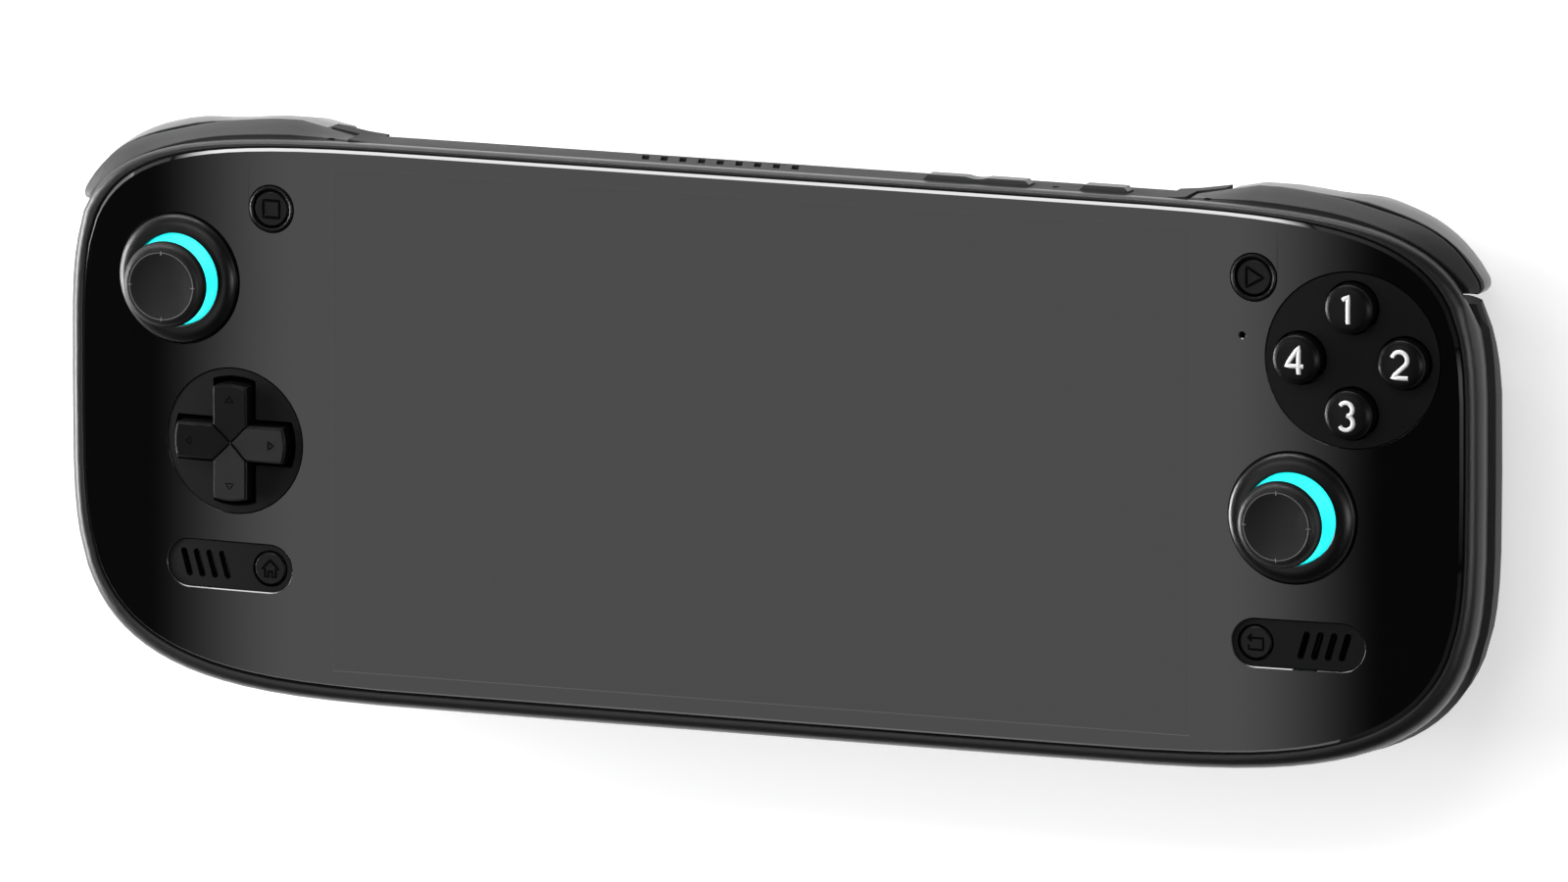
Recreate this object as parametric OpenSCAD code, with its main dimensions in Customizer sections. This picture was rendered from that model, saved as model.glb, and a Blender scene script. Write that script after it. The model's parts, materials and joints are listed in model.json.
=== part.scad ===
// Handheld game console: a slab with a glass front whose ends bend back, two grips, shoulder keys and inner parts.
// Every separate piece is one module. Lengths are in millimetres and +Z points out of the screen.

/* [Front] */
// Width of the visible picture on the screen
screen_w = 132.8; // [126:0.2:140]
// Height of the visible picture on the screen
screen_h = 74.7; // [66:0.1:75]
// Width of the control area on each side of the picture
side_w = 43.1; // [42.4:0.1:45]
// Height of the frame above the screen centre
frame_top = 41.1; // [41:0.1:42.5]
// Reach of the frame below the screen centre
frame_bottom = 42.6; // [42.4:0.1:45]
// Width of the frame rim at the sides and the bottom
rim_w = 2.3; // [2:0.1:2.5]
// Width of the frame rim along the top
rim_top_w = 0.75; // [0.7:0.05:0.9]
// Depth of the frame rim at the sides and the bottom
rim_depth = 3.7; // [3.4:0.1:4]
// Depth of the frame rim above the bumpers
rim_top_depth = 2.1; // [1.9:0.1:2.2]
// Length of a corner curve along the long edge
corner_reach = 69.3; // [67:0.1:71]
// Fullness of the two top corners
corner_n_top = 4.6; // [4.4:0.1:4.8]
// Fullness of the two bottom corners
corner_n_low = 4.1; // [3.9:0.1:4.4]
// Height of the widest point of the ends above the screen centre
corner_mid = 2.1; // [0:0.1:4]
// Distance from the picture to the bend of the front
bend_in = 5.6; // [3:0.1:7]
// Radius in which the two ends of the front bend back
wing_r = 220; // [190:5:320]
// Thickness of the front glass
glass_t = 1; // [0.8:0.1:1.1]
// Width of the polished bevel round the glass
glass_bevel = 0.4; // [0.3:0.1:0.6]
// Thickness of the display panel
panel_t = 2; // [1.6:0.1:2.2]
// Border of the display panel round the picture
panel_border = 1.3; // [1:0.1:1.4]

/* [Controls] */
// Distance of the upper outer controls from the side of the frame
outer_inset = 18.7; // [18.2:0.1:19.5]
// Distance of the lower inner controls from the edge of the picture
inner_in = 15.6; // [15.2:0.1:16]
// Height of the upper outer controls above the screen centre
upper_y = 19.35; // [18.8:0.05:19.6]
// Height of the lower inner controls, below the centre when negative
lower_y = -4.2; // [-5:0.05:-3.8]
// Diameter of a stick collar
collar_d = 19.2; // [18.6:0.1:19.6]
// Height of a stick collar above the glass
collar_h = 1.35; // [1:0.05:1.5]
// Diameter of a stick cap
stick_d = 11.2; // [10.6:0.1:11.6]
// Height of a stick cap above the glass
stick_h = 7.1; // [6.8:0.1:7.6]
// Tilt of a stick to each side
stick_tilt = 12; // [10:0.5:12]
// Diameter of the round plate of the direction pad
pad_d = 21.4; // [21:0.1:21.8]
// Span of the direction cross
cross_w = 17.4; // [16.8:0.1:17.6]
// Width of an arm of the direction cross
cross_arm = 5.3; // [5:0.1:5.5]
// Height of the direction cross above the glass
cross_h = 2; // [1.6:0.1:2.4]
// Diameter of the round plate of the face buttons
face_d = 25.7; // [25.4:0.1:26]
// Diameter of a face button
face_button_d = 7.3; // [7:0.1:7.5]
// Distance of a face button from the middle of its plate
face_pitch = 7.75; // [7.6:0.05:7.9]
// Height of a face button above the glass
face_h = 2.3; // [2:0.1:2.6]
// Travel of a face button
face_travel = 1.3; // [1:0.1:1.4]
// Distance of the select and start buttons from the edge of the picture
small_in = 9.6; // [9.2:0.1:10]
// Height of the select and start buttons above the screen centre
small_y = 30.7; // [30.2:0.1:31]
// Diameter of the hole for a select or start button
small_hole_d = 7; // [6.8:0.1:7.2]
// Length of a speaker grille plate
pill_l = 19.8; // [19.4:0.1:20.2]
// Height of a speaker grille plate
pill_h = 6.9; // [6.7:0.1:7.1]
// Distance of a grille plate centre from the edge of the picture
pill_in = 16.5; // [16.2:0.1:17]
// Height of the grille plates, below the centre when negative
pill_y = -22.9; // [-23.4:0.1:-22]
// Diameter of the home and back buttons
mini_d = 4.9; // [4.6:0.1:5.1]
// Travel of the small round buttons
small_travel = 0.4; // [0.3:0.05:0.5]

/* [Back] */
// Depth of the flat back behind the glass
back_depth = 15; // [14.6:0.1:16]
// Depth of the two grips behind the glass
grip_depth = 22; // [21.5:0.1:23]
// Wall of the rear shell
shell_wall = 1.8; // [1.6:0.1:2]
// Depth at which the sides start to round over to the back
side_depth = 8; // [7.8:0.1:8.4]
// Width of the rounding from the sides to the back
back_round = 11; // [10:0.5:12]
// Outward swell of the ends of the rear shell
end_flare = 0.8; // [0.4:0.1:1]

/* [Shoulder keys] */
// Height over the rim of a bumper beside the ramp
bumper_rise_in = 0.8; // [0.7:0.05:1]
// Height over the rim of a bumper above the stick
bumper_rise_mid = 3.1; // [2.9:0.1:3.3]
// Height over the rim of a bumper at the corner
bumper_rise_out = 4.2; // [3.9:0.1:4.3]
// Depth of the rear edge of a bumper
bumper_depth = 7; // [6.8:0.1:7.1]
// Depth of the rear tip of a trigger
trigger_depth = 19.3; // [18.5:0.1:19.5]
// Swing of a trigger when it is pulled
trigger_swing = 14; // [10:1:14]
// Radius of the trigger pivot pins
pivot_r = 1; // [0.9:0.05:1]
// Depth of the trigger pivot pins
pivot_depth = 10.5; // [10.4:0.1:10.7]

/* [Top and bottom edge] */
// Distance of the volume rocker from the right side of the frame
volume_in = 77.1; // [76.5:0.1:78.5]
// Length of the volume rocker
volume_l = 16; // [15:0.2:16.4]
// Distance of the power key from the right side of the frame
power_in = 57.5; // [57.1:0.1:57.9]
// Length of the power key
power_l = 7.2; // [6.8:0.1:7.4]
// Height of the keys above the top edge
key_rise = 0.8; // [0.6:0.05:0.9]
// Number of vent slots in the top edge
vent_count = 9; // [7:1:9]
// Distance from one vent slot to the next
vent_pitch = 2.9; // [2.7:0.1:2.9]
// Distance of the headphone jack from the left side of the frame
jack_in = 76.5; // [75.5:0.1:77.5]
// Bore radius of the headphone jack
jack_r = 1.8; // [1.75:0.01:1.85]
// Distance of the card slot from the left side of the frame
card_in = 62.5; // [62.1:0.1:62.9]

/* [Hidden] */
// Names of all the pieces
$fn = 48;

// width of the front frame
frame_w = screen_w + 2 * side_w;
// half width of the flat middle of the front
flat_half = screen_w / 2 + bend_in;
// gap between the glass and the frame
glass_gap = 0.2;
// gap between pieces that are fixed together
fix_gap = 0.1;
// gap round a piece that moves
move_gap = 0.3;
// gap along the seam of frame and shell
seam_gap = 0.15;
// level of the outer edge of the glass under its flat
bevel_drop = 0.4;
// drop of the lip of the frame under the glass
lip_drop = 0.55;
// width of the ledge that carries the glass
ledge_w = 1.35;
// rounding of the corners of the display panel
panel_round = 3;
// width of the flange behind a plate or collar in the glass
plate_flange = 0.7;
// points on one corner curve
corner_steps = 24;
// mean fullness of the corners
corner_n = (corner_n_top + corner_n_low) / 2;
// half width of the opening of the frame
lip_half = frame_w / 2 - rim_w;
// top of the opening of the frame
lip_top = frame_top - rim_top_w;
// bottom of the opening of the frame
lip_low = frame_bottom - rim_w;
// corner reach of the opening of the frame
lip_reach = corner_reach - rim_w;
// back of the display panel
panel_back = glass_t + panel_t;
// thickness of the mid plate
mid_t = 0.8;
// back of the mid plate
mid_back = panel_back + mid_t;
// places of the controls
outer_x = frame_w / 2 - outer_inset;
inner_x = screen_w / 2 + inner_in;
small_x = screen_w / 2 + small_in;
pill_x = screen_w / 2 + pill_in;
// places of the keys and sockets in the top and bottom edge
volume_x = frame_w / 2 - volume_in;
power_x = frame_w / 2 - power_in;
jack_x = -frame_w / 2 + jack_in;
card_x = -frame_w / 2 + card_in;
// middle of a home or back button inward from its plate centre
mini_in = pill_l / 2 - pill_h / 2;
// front and back of the control boards
board_front = 10.2;
board_t = 1.2;
board_back = board_front + board_t;
// pivot of a stick below the glass, and the skirt of its cap
stick_pivot = 6.2;
skirt_r = 2;
// hole round a tilting stick
stick_bore = skirt_r + (stick_pivot + 0.6) * tan(1.414 * stick_tilt) + 0.27;
// lowest height of the bumper openings
notch_low = frame_top - 13.4;
// inner end of the bumper openings
notch_in = frame_w / 2 - 44.7;
// inner end of the trigger openings
trigger_in = notch_in + 4.8;
// depth of the step that carries the bumper pin
step_depth = bumper_depth + 0.2;
// depth at which the room behind the triggers starts
room_depth = 13;
// place of a bumper pin
bumper_pin_x = notch_in + 3;
bumper_pin_y = frame_top - 1.3;
// middle and angle of the trigger pivot pin
pivot_x = lip_half - 20.2;
pivot_y = frame_top - 5.95;
pivot_turn = 15.3;
// distance of the wall behind the trigger pivot
pivot_wall = 3.2;
// distance of the wall behind the tip of the trigger
tip_wall = 4.07 + (trigger_depth - pivot_depth) * sin(trigger_swing);
// thickness and front edge of the walls round the shoulder openings
notch_wall = 1.2;
wall_front = 6.2;
// angles of the ends of the keys and of their rounded tips
key_end = turn_at_y(notch_low - 1.2);
key_tip = turn_at_y(notch_low + 1.2);
bumper_start = turn_at_x(notch_in + 0.4);
trigger_start = turn_at_x(trigger_in + 0.4);
// lowest heights of a bumper and of a trigger
bumper_low = notch_low + 1.6;
trigger_low = notch_low + 1.3;
// share of the rise to the top edge from which the rim is thin
rim_share = (notch_low - 0.3 - corner_mid) / (frame_top - corner_mid);
// highest point over the screen centre and middle of the whole height
reach_top = max([for (k = [0:20]) for (s = [0, 1]) trigger_edge(k / 20, s)[1]]);
reach_low = frame_bottom + end_flare / 3;
middle_y = (reach_top - reach_low) / 2;

// sets the object on its grips with its middle over the origin
module place() {
  translate([0, -middle_y, grip_depth]) children();
}

// soft step from 0 to 1
function ease(v) = let (c = min(1, max(0, v))) c * c * (3 - 2 * c);
// drop of the front at a distance from the middle
function droop(x) = let (d = max(0, abs(x) - flat_half)) wing_r - sqrt(wing_r * wing_r - d * d);
// lean of the front at a distance from the middle
function lean(x) = sign(x) * asin(max(0, abs(x) - flat_half) / wing_r);
// outline between the lip (0) and the outside (1) of the frame, moved in by d
function outline(f, d) = [lip_half + f * rim_w - d, lip_top + f * rim_top_w - d,
  -(lip_low + f * rim_w) + d, lip_reach + f * rim_w - d];
// turn of a point on a corner, with one point drawn up to the step of the rim
function turn_of(k, n) = 90 / n * (n == corner_steps && k == 5 ? 5.85 : k);
function side_x(o, k, n) = o[0] - o[3] + o[3] * pow(cos(turn_of(k, n)), 2 / corner_n);
function reach(o, x) = min(1, max(0, (abs(x) - o[0] + o[3]) / o[3]));
function bow(u, n) = pow(max(0, 1 - pow(u, n)), 1 / n);
function top_y(o, x) = corner_mid + (o[1] - corner_mid) * bow(reach(o, x), corner_n_top);
function low_y(o, x) = corner_mid + (o[2] - corner_mid) * bow(reach(o, x), corner_n_low);
// closed outline from the left end over the top, the right end and the bottom
function ring(o, n) = concat(
  [for (k = [0:n]) let (x = -side_x(o, k, n)) [x, top_y(o, x)]],
  [for (k = [n:-1:0]) let (x = side_x(o, k, n)) [x, top_y(o, x)]],
  [for (k = [1:n]) let (x = side_x(o, k, n)) [x, low_y(o, x)]],
  [for (k = [n:-1:1]) let (x = -side_x(o, k, n)) [x, low_y(o, x)]]);
function lift(r, z) = [for (p = r) [p[0], p[1], z - droop(p[0])]];
function flat(l) = [for (a = l) for (b = a) b];
// triangles between stacked rings of m points
function wrap_faces(rows, m, closed) = [for (r = [0:rows - (closed ? 1 : 2)]) for (i = [0:m - 1])
  let (a = r * m, b = ((r + 1) % rows) * m, j = (i + 1) % m)
  each [[a + i, b + i, b + j], [a + i, b + j, a + j]]];
function low_index(i, n) = (i == 0 || i == 2 * n + 1) ? i : 4 * n + 2 - i;
function turn(f, back) = back ? [f[2], f[1], f[0]] : f;
// strips that close a ring
function cap_faces(b, n, back) = [for (i = [0:2 * n])
  let (t = b + i, u = b + i + 1, v = b + low_index(i + 1, n), w = b + low_index(i, n))
  each (i == 0 ? [turn([t, u, v], back)] : i == 2 * n ? [turn([t, u, w], back)]
    : [turn([t, u, v], back), turn([t, v, w], back)])];

// solid from stacked rings with ruled ends
module stack(rings, n) {
  m = 4 * n + 2;
  polyhedron(points = flat(rings),
    faces = concat(wrap_faces(len(rings), m, false), cap_faces(0, n, false),
      cap_faces((len(rings) - 1) * m, n, true)));
}

// depth of the frame rim at a height on an outline
function rim_at(y, o) = (y - corner_mid) / (o[1] - corner_mid) > rim_share ? rim_top_depth : rim_depth;
function rim_ring(f, d, z) = lift(ring(outline(f, d), corner_steps), z);
function rim_low(f, d) = let (o = outline(f, d)) [for (p = ring(o, corner_steps)) [p[0], p[1], -rim_at(p[1], o) - droop(p[0])]];
function rim_arc(a) = let (o = outline(0.2 + 0.8 * sin(a), 0)) [for (p = ring(o, corner_steps))
  [p[0], p[1], -0.36 - (rim_at(p[1], o) - 0.36) * 0.62 * (1 - cos(a)) - droop(p[0])]];

// curved layer of the front between two depths
module skin(z0, z1) {
  rotate([90, 0, 0]) linear_extrude(height = 2 * frame_w, center = true) difference() {
    translate([0, -z0]) under_front();
    translate([0, -z1]) under_front();
  }
}

// side view of everything under the front
module under_front() {
  translate([-flat_half, -60]) square([2 * flat_half, 60]);
  for (s = [-1, 1]) intersection() {
    translate([s * flat_half, -wing_r]) circle(r = wing_r, $fn = 360);
    translate([s > 0 ? flat_half : -flat_half - 60, -60]) square([60, 60]);
  }
}

// long round shape along X
module stadium(l, w) {
  square([l - w, w], center = true);
  for (s = [-1, 1]) translate([s * (l - w) / 2, 0]) circle(d = w);
}

// one-piece glass over the whole front with holes for the controls
module front_glass() {
  color([0.05, 0.05, 0.06, 0.6]) place() difference() {
    stack([rim_ring(0, glass_gap + glass_bevel, 0), rim_ring(0, glass_gap, -bevel_drop),
      rim_ring(0, glass_gap, -glass_t)], corner_steps);
    translate([0, 0, -10]) linear_extrude(height = 20) front_holes();
  }
}

// holes of the glass seen from the front
module front_holes() {
  translate([-outer_x, upper_y]) circle(d = collar_d + 2 * fix_gap);
  translate([inner_x, lower_y]) circle(d = collar_d + 2 * fix_gap);
  translate([-inner_x, lower_y]) circle(d = pad_d + 2 * fix_gap);
  translate([outer_x, upper_y]) circle(d = face_d + 2 * fix_gap);
  for (s = [-1, 1]) translate([s * small_x, small_y]) circle(d = small_hole_d);
  for (s = [-1, 1]) translate([s * pill_x, pill_y]) stadium(pill_l + 2 * fix_gap, pill_h + 2 * fix_gap);
  translate([small_x - 1.7, small_y - 8.6]) circle(d = 0.9);
}

// screen bonded to the back of the glass
module display_panel() {
  color([0.03, 0.03, 0.04]) place() translate([-screen_w / 2 - panel_border, -screen_h / 2 - panel_border, -panel_back])
    linear_extrude(height = panel_t) rounded(screen_w + 2 * panel_border, screen_h + 2 * panel_border, panel_round);
}

// rectangle with round corners, from its low left corner
module rounded(w, h, r) {
  translate([r, 0]) square([w - 2 * r, h]);
  translate([0, r]) square([w, h - 2 * r]);
  for (x = [r, w - r]) for (y = [r, h - r]) translate([x, y]) circle(r = r);
}

// rim round the glass with a ledge under it
module front_frame() {
  rings = concat([rim_ring(0, 0, -lip_drop), rim_ring(0.06, 0, -0.42), rim_ring(0.15, 0, -0.36)],
    [for (a = [18:18:90]) rim_arc(a)], [rim_low(1, 0), rim_low(0, ledge_w), rim_ring(0, ledge_w, -glass_t - fix_gap),
    rim_ring(0, 0, -glass_t - fix_gap)]);
  color([0.07, 0.07, 0.075]) place() polyhedron(points = flat(rings),
    faces = wrap_faces(len(rings), 4 * corner_steps + 2, true));
}

// depth of the back with its two grips
function back_at(x, y) = back_depth + (grip_depth + 0.3 - back_depth)
  * ease((abs(x) - frame_w / 2 + 60) / 36) * ease((frame_top - 10 - y) / 19);
function shell_outline(e, w) = let (o = outline(1, w)) [o[0] + e, o[1], o[2] - e / 3, o[3] + e];
function seam_ring(up, n) = let (o = shell_outline(0, 0)) [for (p = ring(o, n))
  [p[0], p[1], up - rim_at(p[1], o) - seam_gap - droop(p[0])]];
function level_ring(e, w, z, n) = [for (p = ring(shell_outline(e, w), n)) [p[0], p[1], -z]];
function round_ring(a, w, n) = [for (p = ring(shell_outline(end_flare, w + back_round * (1 - cos(a))), n))
  [p[0], p[1], -side_depth - (back_at(p[0], p[1]) - w - side_depth) * sin(a)]];

// solid of rings closed at the back by a grid that follows the grips
module grip_stack(rings, w, n, rows) {
  m = 4 * n + 2;
  last = rings[len(rings) - 1];
  base = (len(rings) - 1) * m;
  extra = [for (i = [1:2 * n]) for (j = [1:rows - 1])
    let (p = last[i], q = last[low_index(i, n)], f = j / rows, x = p[0], y = p[1] + f * (q[1] - p[1]))
    [x, y, -back_at(x, y) + w]];
  polyhedron(points = concat(flat(rings), extra), faces = concat(wrap_faces(len(rings), m, false),
    cap_faces(0, n, false), [for (i = [0:2 * n]) for (j = [0:rows - 1])
      let (a = grid_at(i, j, n, rows, base, m), b = grid_at(i + 1, j, n, rows, base, m),
        c = grid_at(i + 1, j + 1, n, rows, base, m), d = grid_at(i, j + 1, n, rows, base, m))
      each (i == 0 ? [[c, b, a]] : i == 2 * n ? [[d, b, a]] : [[c, b, a], [d, c, a]])]));
}

// number of a grid point of the back
function grid_at(i, j, n, rows, base, m) = (i == 0 || i == 2 * n + 1 || j == 0) ? base + i
  : j == rows ? base + low_index(i, n) : base + m + (i - 1) * (rows - 1) + j - 1;

// plan of the opening behind a shoulder key of the right side
module notch_plan(x_in, back, low) {
  intersection() {
    translate([x_in, low]) square([80, 60]);
    translate([pivot_x, pivot_y]) rotate(-pivot_turn) translate([-80, -back]) square([160, 80]);
  }
}

// openings for the shoulder keys of the right side, or the walls round them when grown
module notches(grow) {
  translate([0, 0, -step_depth - grow]) linear_extrude(height = 20) notch_plan(notch_in - grow, pivot_wall + grow, notch_low - grow);
  translate([0, 0, -room_depth - grow]) linear_extrude(height = 20) notch_plan(trigger_in - grow, pivot_wall + grow, notch_low - grow);
  translate([0, 0, -40]) linear_extrude(height = 40 - room_depth + grow)
    notch_plan(trigger_in - 0.8 - grow, tip_wall + grow, notch_low - 3.4 - grow);
}

// walls round the shoulder openings of the right side
module notch_walls() {
  intersection() {
    notches(notch_wall);
    translate([0, 0, -60]) cube([frame_w, frame_w, 60 - wall_front]);
  }
}

// places of the screws and of the posts under the control boards, right side
screw_spots = [[frame_w / 2 - 50.5, frame_top - 6.6], [frame_w / 2 - 50.5, -frame_bottom + 8.1]];
board_spots = [[frame_w / 2 - 36.5, -frame_bottom + 18], [frame_w / 2 - 12.5, -10], [frame_w / 2 - 36.5, 20]];
// centre and size of the fan
fan_x = -8;
fan_y = 13.6;
fan_w = 36;
fan_back = mid_back + 6.2;
fan_r = fan_w / 2 - 2.4;
hub_r = 6;
// left ends of the mainboard, of the battery and of the heat pipe
main_left = -frame_w / 2 + 55.5;
battery_left = fan_x + fan_w / 2 + 3.5;
pipe_left = fan_x - fan_w / 2 - 14;
// radius of the posts round the screws
post_r = 2.6;
// front and back of the mainboard
main_front = 6.4;
main_back = 7.4;
// middle depths of the sockets in the bottom edge
usb_mid = main_back + 1.6;
jack_mid = main_back + 0.5;
card_mid = main_back + 0.9;

// back half of the housing with grips, vents, key slots and sockets
module rear_shell() {
  color([0.08, 0.08, 0.085]) place() difference() {
    union() {
      difference() {
        union() {
          grip_stack(concat([seam_ring(2.4, corner_steps), seam_ring(-0.25, corner_steps)], [level_ring(end_flare, 0, side_depth, corner_steps)],
            [for (a = [18:18:90]) round_ring(a, 0, corner_steps)]), 0, corner_steps, 14);
          for (s = [-1, 1]) ramp(s);
        }
        skin(-10, rim_top_depth + seam_gap);
        intersection() {
          skin(-10, rim_depth + seam_gap);
          translate([-frame_w, notch_low + 0.2 - frame_w, -30]) cube([2 * frame_w, frame_w, 60]);
        }
        difference() {
          grip_stack(concat([level_ring(0, shell_wall, -2, 14), level_ring(end_flare, shell_wall, side_depth, 14)],
            [for (a = [30:30:90]) round_ring(a, shell_wall, 14)]), shell_wall, 14, 8);
          for (s = [0, 1]) mirror([s, 0, 0]) notch_walls();
        }
      }
      for (s = [-1, 1]) for (p = screw_spots) post(s * p[0], p[1], post_r, mid_back);
      for (s = [-1, 1]) for (p = board_spots) post(s * p[0], p[1], 2, board_back);
    }
    for (s = [0, 1]) mirror([s, 0, 0]) notches(0);
    for (s = [-1, 1]) translate([s * bumper_pin_x, bumper_pin_y, -11]) cylinder(r = 0.92, h = 8);
    for (s = [-1, 1]) for (p = screw_spots) screw_hole(s * p[0], p[1]);
    for (i = [0:vent_count - 1]) translate([fan_x + (i - (vent_count - 1) / 2) * vent_pitch, 0, 0]) vent();
    translate([volume_x, frame_top, -4.35]) cube([volume_l + 0.5, 8, 2.7], center = true);
    translate([power_x, frame_top, -4.35]) cube([power_l + 0.5, 8, 2.7], center = true);
    translate([power_x - 7.8, frame_top, -4.35]) rotate([90, 0, 0]) cylinder(d = 1.1, h = 8, center = true);
    translate([0, -frame_bottom, -usb_mid]) rotate([90, 0, 0]) linear_extrude(height = 8, center = true) stadium(9.6, 3.9);
    translate([jack_x, -frame_bottom, -jack_mid]) rotate([90, 0, 0]) cylinder(r = jack_r + 1, h = 8, center = true);
    translate([card_x, -frame_bottom, -card_mid]) cube([12.6, 8, 1.9], center = true);
    for (i = [-3:3]) translate([fan_x, fan_y + 3.4 * i, -back_depth - 4]) linear_extrude(height = 8) stadium(26 - 1.4 * abs(i), 1.7);
    translate([-frame_w, -frame_w, -grip_depth - 10]) cube([2 * frame_w, 2 * frame_w, 10]);
  }
}

// small slope beside a bumper on the top edge
module ramp(s) {
  translate([0, 0, -side_depth - 2]) linear_extrude(height = side_depth + 2 - rim_top_depth - 0.4)
    polygon([[s * (notch_in - 3.5), frame_top - 1], [s * (notch_in - 3.5), frame_top - 0.1], [s * (notch_in - 0.4), frame_top + 0.2],
      [s * (trigger_in - 0.3), frame_top + 1], [s * (trigger_in - 0.3), frame_top - 1]]);
}

// post from the inside of the back up to a depth
module post(x, y, r, z) {
  translate([x, y, -back_at(x, y) + shell_wall / 2]) cylinder(r = r, h = back_at(x, y) - shell_wall / 2 - z);
}

// stepped hole for a screw from the back
module screw_hole(x, y) {
  translate([x, y, -40]) cylinder(r = 2, h = 40 - back_depth + 2.6);
  translate([x, y, -20]) cylinder(r = 1.05, h = 15.4);
}

// slanted slot in the top edge
module vent() {
  translate([0, frame_top + 3, -5.5]) rotate([90, 0, 0]) linear_extrude(height = 6)
    polygon([[-1.05, -1.6], [0.05, -1.6], [1.05, 1.6], [-0.05, 1.6]]);
}

// metal plate behind the screen with standoffs for the boards
module mid_plate() {
  color([0.55, 0.56, 0.58]) place() {
    translate([-frame_w / 2 + 46.5, -screen_h / 2 - 1, -mid_back]) cube([frame_w - 93, screen_h + 2, mid_t]);
    for (p = main_spots) translate([p[0], p[1], -main_front]) cylinder(r = 1.8, h = main_front - mid_back + 0.2);
    translate([volume_x, frame_top - 3.7, -mid_back - 2.6]) cylinder(r = 0.5, h = 2.8, $fn = 24);
  }
}

// standoffs of the mainboard
main_spots = [[main_left + 3, 20], [main_left + 3, -30], [battery_left - 6.5, -30], [fan_x - fan_w / 2 - 6, 4]];

// circuit board with processor and chips
module mainboard() {
  color([0.05, 0.22, 0.14]) place() {
    difference() {
      translate([main_left, -frame_bottom + 7.1, -main_back]) cube([battery_left - 2.5 - main_left, 26, main_back - main_front]);
      translate([jack_x - 3.5, -frame_bottom + 7, -main_back - 1]) cube([7, 8, 4]);
    }
    translate([main_left, -frame_bottom + 33, -main_back])
      cube([fan_x - fan_w / 2 - 3.5 - main_left, frame_bottom + frame_top - 47.7, main_back - main_front]);
    translate([pipe_left - 4, -26, -main_front - 0.1]) cube([14, 14, 0.5]);
    translate([pipe_left + 14, -24, -main_back - 1.2]) cube([10, 9, 1.3]);
    translate([main_left + 6, 8, -main_back - 1]) cube([11, 9, 1.1]);
  }
}

// flat battery pack
module battery() {
  color([0.12, 0.12, 0.14]) place() translate([battery_left, -screen_h / 2 + 0.85, -mid_back - 6])
    cube([screw_spots[0][0] - post_r - 1.9 - battery_left, screen_h - 3.2, 6]);
}

// square case of the fan, open to the back and towards the heatsink
module fan_housing() {
  color([0.1, 0.1, 0.11]) place() {
    difference() {
      translate([fan_x - fan_w / 2, fan_y - fan_w / 2, -fan_back]) cube([fan_w, fan_w, fan_back - mid_back]);
      translate([fan_x, fan_y, -fan_back - 1]) cylinder(r = fan_w / 2 - 1.2, h = fan_back - mid_back + 0.2, $fn = 72);
      translate([fan_x - 13, fan_y, -fan_back - 1]) cube([26, fan_w, fan_back - mid_back + 0.2]);
    }
    translate([fan_x, fan_y, -fan_back + 1.2]) cylinder(r = 1, h = fan_back - mid_back - 1.4);
  }
}

// fan wheel with curved blades
module fan_impeller() {
  color([0.16, 0.16, 0.18]) place() translate([fan_x, fan_y, -fan_back + 0.4]) difference() {
    union() {
      cylinder(r = hub_r, h = 4.4);
      linear_extrude(height = 4.2) for (i = [0:14]) rotate(24 * i) blade();
      difference() {
        cylinder(r = fan_r, h = 0.8, $fn = 72);
        translate([0, 0, -1]) cylinder(r = fan_r - 1.2, h = 3, $fn = 72);
      }
    }
    translate([0, 0, 0.6]) cylinder(r = 1.05, h = 6);
  }
}

// one curved fan blade from above
module blade() {
  intersection() {
    difference() {
      translate([7, 9.5]) circle(r = 10);
      translate([7, 9.5]) circle(r = 9.3);
    }
    difference() {
      circle(r = fan_r - 0.3);
      circle(r = hub_r - 0.3);
    }
    translate([4, -3]) square([fan_r, 12]);
  }
}

// comb of thin fins between the fan and the vents
module heatsink() {
  color([0.62, 0.63, 0.65]) place() {
    translate([fan_x - 13, fan_y + fan_w / 2 + 0.4, -mid_back - 0.9]) cube([26, heat_l, 0.9]);
    for (i = [0:12]) translate([fan_x - 13 + i * 25.5 / 12, fan_y + fan_w / 2 + 0.4, -mid_back - 5.4]) cube([0.5, heat_l, 4.6]);
  }
}

// length of the heatsink up to the top wall
heat_l = frame_top - shell_wall - 0.9 - fan_y - fan_w / 2 - 0.4;

// flat copper pipe from the processor to the heatsink
module heat_pipe() {
  color([0.72, 0.45, 0.2]) place() translate([0, 0, -main_front + 0.4]) linear_extrude(height = 1.9) {
    translate([pipe_left, -24]) square([6, fan_y + fan_w / 2 + 0.4 + heat_l + 24]);
    translate([pipe_left, fan_y + fan_w / 2 + 0.4]) square([fan_x - 13.2 - pipe_left, heat_l]);
  }
}

// raised round collar of a stick
module stick_collar(x, y) {
  r = collar_d / 2;
  color([0.05, 0.05, 0.055]) place() translate([x, y, -droop(x)]) rotate([0, lean(x), 0]) rotate_extrude($fn = 96)
    polygon(concat([[stick_bore, -0.6], [stick_bore, 0.2], [6.9, 0.2], [6.9, collar_h - 0.12], [7.05, collar_h]],
      [for (a = [90:-10:0]) [7.3 + (r - 7.3) * cos(a), 0.12 + (collar_h - 0.12) * sin(a)]],
      [[r, -glass_t - 0.4], [r + plate_flange, -glass_t - 0.4], [r + plate_flange, -glass_t - 1.2], [6.2, -glass_t - 1.2], [6.2, -0.6]]));
}

module left_stick_collar() {
  stick_collar(-outer_x, upper_y);
}

module right_stick_collar() {
  stick_collar(inner_x, lower_y);
}

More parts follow.
